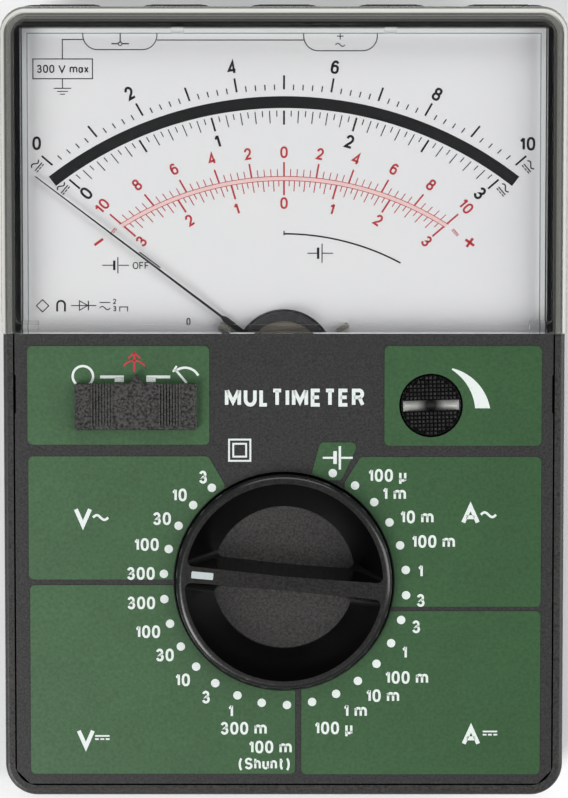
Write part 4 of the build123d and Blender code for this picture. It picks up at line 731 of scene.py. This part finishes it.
def grow(tree, values):
    # run a tree with these values and give back the plain mesh it makes
    holder = bpy.data.objects.new("holder", bpy.data.meshes.new("holder"))
    scene.collection.objects.link(holder)
    modifier = holder.modifiers.new("grow", "NODES")
    modifier.node_group = tree
    for label, value in values.items():
        modifier[tree.interface.items_tree[label].identifier] = value
    depsgraph = bpy.context.evaluated_depsgraph_get()
    mesh = bpy.data.meshes.new_from_object(holder.evaluated_get(depsgraph))
    holder.modifiers.remove(modifier)
    bpy.data.objects.remove(holder)
    return mesh


def growInto(shape, tree, values, place):
    # add what a tree makes to a shape
    mesh = grow(tree, values)
    mesh.transform(place)
    shape.from_mesh(mesh)
    bpy.data.meshes.remove(mesh)


tickTree, dotTree, ribTree = makeTickTree(), makeDotTree(), makeRibTree()

# dial print, laid out in millimetres from the pointer's pivot
dial = {
    "face": -4.5,                  # height of the printed face below the panel
    "ink": (0.012, 0.05),          # foot and top of the ink above that face
    "drop": 21.15,                 # the arcs' centre is this far below the pivot
    "fullAngle": 49.4,             # pointer angle at either end of the scales
    "numeral": 2.42, "redNumeral": 2.1,
}
dialInk = dial["ink"]
dialPlace = onPanel(pointerPivot, dial["face"])
arcCentre = (0.0, -dial["drop"])
full = dial["fullAngle"]


def arcAngle(radius, pointerAngle):
    # angle about the arcs' centre of the place where the pointer crosses an arc
    theta = radians(pointerAngle)
    reach = (radius ** 2 - (dial["drop"] * sin(theta)) ** 2) ** 0.5 - dial["drop"] * cos(theta)
    return degrees(atan2(reach * sin(theta), reach * cos(theta) + dial["drop"]))


def arcBand(ink, inner, outer, start, end, steps):
    middle = (inner + outer) / 2
    first, last = arcAngle(middle, start), arcAngle(middle, end)
    slabStrip(ink, arcPoints(arcCentre, outer, first, last, steps),
        arcPoints(arcCentre, inner, first, last, steps), dialInk)


def scaleMarks(ink, material, count, parts, inner, outer, width, leaveOut):
    growInto(ink, tickTree, {
        "Count": count, "First Angle": radians(full), "Angle Step": radians(-full / parts),
        "Arc Radius": (inner + outer) / 2,
        "Centre Drop": dial["drop"], "Length": outer - inner, "Width": width,
        "Thickness": dialInk[1] - dialInk[0],
        "Leave Out Every": leaveOut, "Material": material}, Matrix.Translation((0, 0, sum(dialInk) / 2)))


scaleRows = {
    # how many marks, how many steps to half the sweep, inner and outer radius, width, leave out every
    "black": ((11, 5, 70.0, 72.5, 0.34, 0), (51, 25, 69.9, 70.9, 0.2, 5), (7, 3, 63.75, 66.25, 0.34, 0),
              (31, 15, 64.05, 66.25, 0.17, 5), (61, 30, 65.2, 66.25, 0.17, 2)),
    "red": ((11, 5, 54.5, 57.1, 0.3, 0), (51, 25, 54.5, 55.85, 0.15, 5), (7, 3, 51.2, 53.85, 0.32, 0),
            (31, 15, 51.9, 53.85, 0.16, 5), (61, 30, 52.8, 53.85, 0.16, 2)),
    # inner and outer radius, degrees past either end of the scales, steps
    "blackBands": ((66.7, 68.8, 2.4, 80),),
    "redBands": ((53.75, 53.75 + 0.11, 0.4, 60), (54.5, 54.5 + 0.11, 0.4, 60)),
    "pinkBands": ((53.87, 54.49, 0.35, 60),),
}
for name, rows, bands, ink in (("dial_marks_black", "black", "blackBands", blackInk),
                               ("dial_marks_red", "red", "redBands", redInk)):
    marks = bmesh.new()
    for row in scaleRows[rows]:
        scaleMarks(marks, ink, *row)
    for inner, outer, past, steps in scaleRows[bands]:
        arcBand(marks, inner, outer, full + past, -full - past, steps)
    finishPiece(marks, name, dialPlace, ink, "case")

pinkBand = bmesh.new()
for inner, outer, past, steps in scaleRows["pinkBands"]:
    arcBand(pinkBand, inner, outer, full + past, -full - past, steps)
finishPiece(pinkBand, "dial_band_pink", dialPlace, pinkInk, "case")

# painted shadow: a thin grey line along the inner edge of the dial's lip, where its shade falls on the face
lipShadowMesh = bmesh.new()
lipShadowLine = {"half": 45.75, "foot": 1.6, "top": 58.8, "width": 0.22}
stroke(lipShadowMesh, [(-lipShadowLine["half"], lipShadowLine["foot"]), (-lipShadowLine["half"], lipShadowLine["top"]),
                    (lipShadowLine["half"], lipShadowLine["top"]), (lipShadowLine["half"], lipShadowLine["foot"])], lipShadowLine["width"],
                    dialInk)
finishPiece(lipShadowMesh, "dial_lip_shadow", dialPlace, lipShadowInk, "case")
print("scales drawn")

blackWords = bmesh.new()
for words, spot, turn in (
    ("0", (-44.1, 39.3), 0), ("2", (-27.5, 48.2), full * 0.6), ("4", (-9.3, 52.7), full * 0.2),
    ("6", (9.1, 52.8), -full * 0.2), ("8", (27.3, 48.0), -full * 0.6), ("10", (43.4, 39.2), 0),
    ("0", (-35.3, 30.4), full), ("1", (-11.9, 39.6), full / 3), ("2", (11.7, 39.6), -full / 3),
    ("3", (35.0, 30.4), -full),
):
    lettering(blackWords, words, spot, dial["numeral"], dialInk, turn, 0.175)
lettering(blackWords, "0", (-17.1, 7.5), 1.3, dialInk, 0, 0.15, 0.13, 0.85)
lettering(blackWords, "OFF", (-25.6, 17.5), 1.3, dialInk, 0, 0.14)
lettering(blackWords, "300 V max", (-39.4, 52.5), 1.45, dialInk, 0, 0.16)
for spot, turn in (((-44.0, 35.3), full), ((-39.4, 31.3), full),
                   ((43.6, 35.1), -full), ((39.1, 31.0), -full)):
    lift = turned([(0, 0.55)], spot, turn)[0]
    fall = turned([(0, -0.45)], spot, turn)[0]
    tilde(blackWords, lift, 1.9, 0.22, dialInk, turn)
    directCurrent(blackWords, fall, 1.9, 0.2, dialInk, turn)

fine = 0.17                        # pen width of the circuit drawing
socketMarks = {"left": (-35.8, -22.6), "right": (3.5, 16.6), "top": 59.0, "foot": 55.9, "round": 2.6}


def socketOutline(sides, foot):
    # the lower half of a socket's outline, with round corners
    r = socketMarks["round"]
    corner = arcPoints((sides[0] + r, foot + r), r, 90, 180, 8)
    opposite = arcPoints((sides[1] - r, foot + r), r, 180, 270, 8)
    top = socketMarks["top"]
    stroke(blackWords, [(sides[0], top)] + corner + opposite + [(sides[1], top)], fine, dialInk)


socketOutline(socketMarks["left"], socketMarks["foot"])
socketOutline(socketMarks["right"], socketMarks["foot"] - 0.2)
boxLeft, boxRight, boxFoot, boxTop = -44.7, -34.1, 50.75, 54.25
for line, width in (
    ([(-35.8, 57.7), (-39.45, 57.7), (-39.45, 54.25)], fine),
    ([(-22.6, 57.6), (3.5, 57.6)], fine),
    ([(-39.45, 50.7), (-39.45, 49.1)], fine),
    ([(-41.0, 49.05), (-37.9, 49.05)], 0.17), ([(-40.4, 48.5), (-38.5, 48.5)], 0.15),
    ([(-39.9, 48.0), (-39.0, 48.0)], 0.15),
    ([(-29.15, 59.0), (-29.15, 57.1)], 0.2), ([(-30.7, 56.95), (-29.5, 56.95)], 0.22),
    ([(-28.8, 56.95), (-27.6, 56.95)], 0.22),
    ([(9.4, 58.3), (10.6, 58.3)], 0.16), ([(10.0, 57.7), (10.0, 58.9)], 0.16),
    ([(-25.85, 19.9), (-22.1, 17.1)], 0.22),
    ([(-32.5, 17.55), (-30.45, 17.55)], 0.16), ([(-29.55, 17.55), (-27.7, 17.55)], 0.16),
    ([(-30.35, 18.4), (-30.35, 16.7)], 0.42), ([(-29.7, 19.0), (-29.7, 16.1)], 0.18),
    ([(4.2, 19.7), (5.95, 19.7)], 0.17), ([(6.9, 19.7), (8.8, 19.7)], 0.17),
    ([(6.1, 20.7), (6.1, 18.7)], 0.42), ([(6.8, 21.4), (6.8, 18.0)], 0.18),
    ([(0.0, 23.7), (0.0, 22.9)], 0.2),
):
    stroke(blackWords, line, width, dialInk)
stroke(blackWords, [(boxLeft, boxFoot), (boxRight, boxFoot), (boxRight, boxTop), (boxLeft, boxTop)], 0.18,
    dialInk, True)
stroke(blackWords, ringPoints((-29.15, 56.95), 0.33, 16), 0.16, dialInk, True)
tilde(blackWords, (10.0, 56.75), 1.7, 0.17, dialInk)
arcBand(blackWords, 44.18, 44.46, 0, -49.2, 30)

# small symbols along the foot: an insulation mark, a magnet, a rectifier, both currents and a level mark
stroke(blackWords, turned([(0, 1.1), (-1.1, 0), (0, -1.1), (1.1, 0)], (-43.2, 10.3), 0), 0.17, dialInk, True)
stroke(blackWords, [(-40.6, 9.3)] + arcPoints((-39.9, 10.5), 0.7, 90, -90, 10) + [(-39.2, 9.3)], 0.34,
    dialInk)
stroke(blackWords, [(-38.1, 10.35), (-33.6, 10.35)], 0.16, dialInk)
stroke(blackWords, [(-36.6, 11.2), (-36.6, 9.5), (-35.1, 10.35)], 0.16, dialInk, True)
stroke(blackWords, [(-35.0, 11.2), (-35.0, 9.5)], 0.2, dialInk)
stroke(blackWords, [(-33.0, 10.9), (-31.1, 10.9)], 0.17, dialInk)
tilde(blackWords, (-32.05, 9.9), 1.9, 0.18, dialInk)
lettering(blackWords, "2", (-30.3, 11.1), 0.95, dialInk, 0, 0.16)
lettering(blackWords, "3", (-30.3, 9.8), 0.95, dialInk, 0, 0.16)
stroke(blackWords, [(-29.4, 9.3), (-29.4, 10.1), (-28.0, 10.1), (-28.0, 9.3)], 0.17, dialInk)
finishPiece(blackWords, "dial_print_black", dialPlace, blackInk, "case")

redWords = bmesh.new()
for number, x, y in ((10, 32.5, 28.1), (8, 26.25, 31.9), (6, 19.65, 34.7), (4, 12.9, 36.5), (2, 6.45, 37.4)):
    for side in (-1, 1):
        lettering(redWords, str(number), (side * x, y), dial["redNumeral"], dialInk,
            -side * full * number / 10, 0.17)
for number, x, y in ((3, 25.5, 21.85), (2, 16.85, 25.6), (1, 8.5, 27.6)):
    for side in (-1, 1):
        lettering(redWords, str(number), (side * x, y), dial["redNumeral"], dialInk,
            -side * full * number / 3, 0.17)
lettering(redWords, "0", (0, 37.7), dial["redNumeral"], dialInk, 0, 0.17)
lettering(redWords, "0", (0, 28.65), dial["redNumeral"], dialInk, 0, 0.17)
stroke(redWords, turned([(-0.95, 0), (0.95, 0)], (-33.1, 21.7), 36), 0.46, dialInk)
stroke(redWords, turned([(-0.95, 0), (0.95, 0)], (33.2, 21.6), -36), 0.46, dialInk)
stroke(redWords, turned([(0, -0.95), (0, 0.95)], (33.2, 21.6), -36), 0.46, dialInk)
directCurrent(redWords, (-30.5, 23.6), 1.5, 0.16, dialInk, full)
directCurrent(redWords, (30.6, 23.4), 1.5, 0.16, dialInk, -full)
finishPiece(redWords, "dial_print_red", dialPlace, redInk, "case")
print("dial printed")

# panel print, laid out in millimetres from the panel's middle
panel = {"film": 0.13, "ink": 0.04, "sunk": 0.01, "label": 2.3, "quantity": 3.6}
filmInk = (panel["film"] - panel["sunk"], panel["film"] + panel["ink"])
titleInk = (-panel["sunk"], 0.035)
panelPlace = onPanel(panelMiddle, 0)

rangeRing = {"count": 26, "firstAngle": 126.92, "step": 12, "radius": 21.74, "dot": 0.76,
             "centre": (0.18, -32.6)}
rangeDots = bmesh.new()
growInto(rangeDots, dotTree, {
    "Count": rangeRing["count"], "First Angle": radians(rangeRing["firstAngle"]),
    "Angle Step": radians(rangeRing["step"]), "Ring Radius": rangeRing["radius"],
    "Dot Radius": rangeRing["dot"], "Thickness": filmInk[1] - filmInk[0], "Material": whiteInk},
    Matrix.Translation((*rangeRing["centre"], sum(filmInk) / 2)))
finishPiece(rangeDots, "range_dots", panelPlace, whiteInk, "case")

rangeWords = bmesh.new()
for words, x, y in (
    ("3", -14.45, -13.3), ("10", -18.7, -16.5), ("30", -21.8, -20.75), ("100", -24.6, -25.4),
    ("300", -25.6, -30.6), ("300", -25.55, -35.9), ("100", -24.4, -41.1), ("30", -21.35, -45.3),
    ("10", -18.2, -49.8), ("3", -14.0, -52.9), ("1", -9.6, -55.4), ("300 m", -7.25, -58.55),
    ("100 m", -2.5, -61.95), ("(Shunt)", -3.55, -64.95), ("100 µ", 18.4, -13.0), ("1 m", 19.65, -16.25),
    ("10 m", 23.7, -20.45), ("100 m", 26.65, -24.85), ("1", 24.35, -30.15), ("3", 24.45, -35.45),
    ("3", 23.65, -40.2), ("1", 21.55, -44.8), ("100 m", 21.95, -49.35), ("10 m", 17.65, -52.65),
    ("1 m", 12.75, -55.35), ("100 µ", 8.85, -58.5),
):
    cap = panel["label"] if words[0] != "(" else panel["label"] * 0.92
    lettering(rangeWords, words, (x, y), cap, filmInk, 0, 0.185)
for words, x, y in (("V", -35.9, -20.5), ("V", -35.55, -60.45), ("A", 33.3, -20.0), ("A", 33.55, -59.9)):
    lettering(rangeWords, words, (x, y), panel["quantity"], filmInk, 0, 0.2)
tilde(rangeWords, (-32.75, -20.55), 2.7, 0.42, filmInk)
tilde(rangeWords, (36.5, -20.05), 2.7, 0.42, filmInk)
directCurrent(rangeWords, (-32.6, -60.2), 2.6, 0.29, filmInk)
directCurrent(rangeWords, (36.95, -59.4), 2.6, 0.29, filmInk)
for points, width in (
    ([(9.11, -8.65), (9.11, -10.95)], 0.64), ([(9.96, -7.75), (9.96, -11.95)], 0.42),
    ([(6.9, -9.85), (8.8, -9.85)], 0.36), ([(10.1, -9.85), (12.25, -9.85)], 0.36),
):
    stroke(rangeWords, points, width, filmInk)
finishPiece(rangeWords, "range_labels", panelPlace, whiteInk, "case")

switchMiddle = -26.5
switchWords = bmesh.new()
stroke(switchWords, ringPoints((-35.8, 4.72), 1.82), 0.42, filmInk, True)
for side in (-1, 1):
    for start, end, height, width in ((2.0, 6.25, 4.6, 0.52), (2.0, 3.65, 4.1, 0.8)):
        ends = [(switchMiddle + side * reach, height) for reach in (start, end)]
        stroke(switchWords, ends, width, filmInk)
stroke(switchWords, arcPoints((-17.6, 3.6), 2.65, 42, -62, 14), 0.42, filmInk)
stroke(switchWords, [(-19.4, 6.0), (-17.35, 3.55)], 0.4, filmInk)
stroke(switchWords, [(-19.75, 5.5), (-19.1, 6.55)], 0.36, filmInk)


def arcThrough(first, second, third, steps=14):
    # the circle through three spots, from the first to the last
    a, b, c = (complex(*spot) for spot in (first, second, third))
    w = (c - a) / (b - a)
    centre = (b - a) * (w - abs(w) ** 2) / (2j * w.imag) + a
    radius = abs(a - centre)
    start = atan2((a - centre).imag, (a - centre).real)
    end = atan2((c - centre).imag, (c - centre).real)
    return [(centre.real + radius * cos(start + (end - start) * step / steps),
             centre.imag + radius * sin(start + (end - start) * step / steps)) for step in range(steps + 1)]


outerEdge = arcThrough((30.0, 6.15), (34.4, 3.55), (36.71, -0.99))
innerEdge = arcThrough((29.85, 5.9), (32.45, 3.4), (34.04, -0.99))
slabStrip(switchWords, outerEdge, innerEdge, filmInk)
finishPiece(switchWords, "switch_symbols", panelPlace, whiteInk, "case")

titleWords = bmesh.new()
title = {"words": "MULTIMETER", "spot": (1.9, 0.9), "cap": 3.2, "weight": 0.2, "gap": 0.15}
lettering(titleWords, title["words"], title["spot"], title["cap"], titleInk, 0, title["weight"], title["gap"])
for half in (1.9, 1.15):
    square = [(-half, -half), (half, -half), (half, half), (-half, half)]
    stroke(titleWords, turned(square, (-7.9, -8.5), 0), 0.32, titleInk, True)
finishPiece(titleWords, "panel_title", panelPlace, whiteInk, "case")

warnWords = bmesh.new()
stroke(warnWords, [(-26.65, 9.1), (-26.65, 5.5)], 0.36, filmInk)
for side in (-1, 1):
    stroke(warnWords, [(-26.65, 8.9), (-26.65 + side * 1.1, 7.9)], 0.3, filmInk)
stroke(warnWords, arcPoints((-26.65, 5.2), 2.3, 55, -55, 14), 0.28, filmInk)
finishPiece(warnWords, "switch_symbol_red", panelPlace, redInk, "case")
print("panel printed")

# finger ribs on the slide
slideLow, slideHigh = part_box("slide_knob")
slideMiddle = (slideLow + slideHigh) / 2
slideRibs = {"count": 8, "pitch": 0.52, "radius": 0.2, "length": 7.5, "inner": 4.2, "top": 1.92, "below": 0.3}
ribs = bmesh.new()
slideCentre = (slideMiddle - panelMiddle).dot(panelRight) / mm
slideCentreUp = (slideMiddle - panelMiddle).dot(panelUp) / mm
for side in (-1, 1):
    span = (slideRibs["count"] - 1) * slideRibs["pitch"]
    firstRib = slideCentre + side * (slideRibs["inner"] + span / 2) - span / 2
    growInto(ribs, ribTree, {
        "Count": slideRibs["count"], "Pitch": slideRibs["pitch"], "Rib Radius": slideRibs["radius"],
        "Length": slideRibs["length"], "Material": slideAcetal},
        Matrix.Translation((firstRib, slideCentreUp - slideRibs["below"], slideRibs["top"])))
finishPiece(ribs, "slide_ribs", panelPlace, slideAcetal, "slide_body")

# the adjuster's waffle grip and the floor of its slot
def makePipTree():
    # square pips on a grid, kept inside a circle and off a slot across the middle
    tree, given = startTree("gripPips", (
        ("Count", "Int"), ("Pitch", "Float"), ("Pip Width", "Float"), ("Height", "Float"),
        ("Circle Radius", "Float"),
        ("Slot Half Width", "Float"), ("Material", "Material")))
    gaps = addNode(tree, "ShaderNodeMath", {0: given["Count"], 1: 1.0}, operation="SUBTRACT")
    span = addNode(tree, "ShaderNodeMath", {0: gaps, 1: given["Pitch"]}, operation="MULTIPLY")
    grid = addNode(tree, "GeometryNodeMeshGrid", {
        "Size X": span, "Size Y": span, "Vertices X": given["Count"], "Vertices Y": given["Count"]})
    spot = addNode(tree, "GeometryNodeInputPosition")
    reach = addNode(tree, "ShaderNodeVectorMath", {0: spot}, operation="LENGTH")
    inside = addNode(tree, "ShaderNodeMath", {0: reach.outputs["Value"], 1: given["Circle Radius"]},
        operation="LESS_THAN")
    parts = addNode(tree, "ShaderNodeSeparateXYZ", {0: spot})
    aside = addNode(tree, "ShaderNodeMath", {0: parts.outputs[1]}, operation="ABSOLUTE")
    clear = addNode(tree, "ShaderNodeMath", {0: aside, 1: given["Slot Half Width"]}, operation="GREATER_THAN")
    both = addNode(tree, "ShaderNodeMath", {0: inside, 1: clear}, operation="MULTIPLY")
    topWidth = addNode(tree, "ShaderNodeMath", {0: given["Pip Width"], 1: 0.38}, operation="MULTIPLY")
    footWidth = addNode(tree, "ShaderNodeMath", {0: given["Pip Width"], 1: 0.7071}, operation="MULTIPLY")
    pip = addNode(tree, "GeometryNodeMeshCone", {
        "Vertices": 4, "Radius Top": topWidth, "Radius Bottom": footWidth, "Depth": given["Height"]})
    placed = addNode(tree, "GeometryNodeInstanceOnPoints", {
        "Points": grid, "Selection": both, "Instance": pip, "Rotation": (0, 0, pi / 4)})
    return endTree(tree, given, placed)


adjuster = {
    "top": 0.3, "slotTurn": 1.5, "slotHalf": 0.93, "slotReach": 5.0, "slotFloor": -0.9, "floorRise": 1.0,
    "slotMargin": 0.3, "pips": 15, "pitch": 0.7, "pipWidth": 0.5, "pipHeight": 0.22, "pipSunk": 0.02,
    "gripRadius": 4.95,
}
adjustPivot = Vector(joints["adjust_knob_turn"]["pos_m"])
slotTurn = Matrix.Rotation(radians(adjuster["slotTurn"]), 4, "Z")
gripAcetal = mouldedPlastic("gripAcetal", "#131212", "#343332", 0.35, 0.03, (0.3, 0.5), 1.48)
pips = bmesh.new()
growInto(pips, makePipTree(), {
    "Count": adjuster["pips"], "Pitch": adjuster["pitch"], "Pip Width": adjuster["pipWidth"],
    "Height": adjuster["pipHeight"], "Circle Radius": adjuster["gripRadius"],
    "Slot Half Width": adjuster["slotHalf"] + adjuster["slotMargin"], "Material": gripAcetal},
    slotTurn @ Matrix.Translation((0, 0, adjuster["top"] - adjuster["pipSunk"])))
finishPiece(pips, "adjust_pips", onPanel(adjustPivot, 0), gripAcetal, "adjuster_body")

slotFloor = bmesh.new()            # the cutter leaves the slot's floor hollow, so its ends catch the lamps
across = [adjuster["slotReach"] * (step / 12 - 1) for step in range(25)]
rows = []
for x in across:
    surface = adjuster["slotFloor"] + 0.05 + adjuster["floorRise"] * (x / adjuster["slotReach"]) ** 2
    rows.append([slotFloor.verts.new((x, side, height)) for side, height in (
        (-adjuster["slotHalf"], adjuster["slotFloor"] - 0.02),
        (adjuster["slotHalf"], adjuster["slotFloor"] - 0.02),
        (adjuster["slotHalf"], surface), (-adjuster["slotHalf"], surface))])
for here, there in zip(rows, rows[1:]):
    for corner in range(4):
        following = (corner + 1) % 4
        wall = (here[corner], here[following], there[following], there[corner])
        slotFloor.faces.new(wall).smooth = corner == 2    # only the floor itself is a curve
slotFloor.faces.new(rows[0][::-1])
slotFloor.faces.new(rows[-1])
slotFloor.transform(slotTurn)

# the pale colour toward the slot's ends is a painted highlight
slotEndHighlight = {"dark": 1.2, "pale": 2.6, "middle": "#262625", "ends": "#a3a39f"}


def makeBurnishedAcetal():
    # painted highlight: the slot is coloured pale toward its ends, where its hollow floor catches the lamps
    material, tree, place = startMaterial("slotHighlightAcetal")
    moved = addNode(tree, "ShaderNodeVectorMath", {0: place, 1: tuple(adjustPivot)}, operation="SUBTRACT")
    reach = addNode(tree, "ShaderNodeVectorMath", {0: moved}, operation="LENGTH")
    drag = addNode(tree, "ShaderNodeTexNoise", {"Vector": place, "Scale": 1 / (0.5 * mm), "Detail": 2.0})
    slotHighlightShare = addNode(tree, "ShaderNodeMapRange", {
        "Value": reach.outputs["Value"], "From Min": slotEndHighlight["dark"] * mm, "From Max": slotEndHighlight["pale"] * mm})
    colour = addNode(tree, "ShaderNodeMix", {
        0: slotHighlightShare, 6: toLinear(slotEndHighlight["middle"]), 7: toLinear(slotEndHighlight["ends"])}, data_type="RGBA")
    rough = addNode(tree, "ShaderNodeMapRange", {"Value": drag, "To Min": 0.2, "To Max": 0.45})
    bump = addNode(tree, "ShaderNodeBump", {"Height": drag, "Distance": 0.01 * mm})
    shader = addNode(tree, "ShaderNodeBsdfPrincipled", {
        "Base Color": colour.outputs[2], "Roughness": rough, "IOR": 1.48, "Normal": bump})
    return endMaterial(material, shader)


finishPiece(slotFloor, "adjust_slot_floor", onPanel(adjustPivot, 0), makeBurnishedAcetal(), "adjuster_body")

# floor and surroundings
floorMesh = bpy.data.meshes.new("floor")
board = {"half": 3, "gap": 0.0002}    # metres; the gap keeps the floor clear of the underside
half = board["half"]
corners = [(-half, -half, 0), (half, -half, 0), (half, half, 0), (-half, half, 0)]
floorMesh.from_pydata(corners, [], [(0, 1, 2, 3)])
floorMesh.transform(Matrix.Translation((0, 0, cadBox[0].z - board["gap"])))
floorBoard = bpy.data.objects.new("floor", floorMesh)
scene.collection.objects.link(floorBoard)
floorMaterial, floorTree, floorPlace = startMaterial("matteBoard")
floorCloud = addNode(floorTree, "ShaderNodeTexNoise", {"Vector": floorPlace, "Scale": 3.0})
floorColour = addNode(floorTree, "ShaderNodeMix", {
    0: floorCloud, 6: toLinear("#f8f8f7"), 7: toLinear("#fcfcfb")}, data_type="RGBA")
floorShader = addNode(floorTree, "ShaderNodeBsdfPrincipled",
    {"Base Color": floorColour.outputs[2], "Roughness": 0.8})
endMaterial(floorMaterial, floorShader)
floorMesh.materials.append(floorMaterial)

# a pale tent all round, open and dark overhead where the cover would mirror it
tent = {"colour": "#f2f4f8", "openAbove": 0.985, "fullBelow": 0.93, "overhead": 0.02, "walls": 0.42}
world = bpy.data.worlds.new("studio")
world.use_nodes = True
sky = world.node_tree
lookUp = addNode(sky, "ShaderNodeSeparateXYZ", {0: addNode(sky, "ShaderNodeTexCoord").outputs["Generated"]})
glow = addNode(sky, "ShaderNodeMapRange", {
    "Value": lookUp.outputs[2], "From Min": tent["fullBelow"], "From Max": tent["openAbove"],
    "To Min": tent["walls"], "To Max": tent["overhead"]})
sky.nodes["Background"].inputs["Color"].default_value = toLinear(tent["colour"])
sky.links.new(glow.outputs[0], sky.nodes["Background"].inputs["Strength"])
scene.world = world
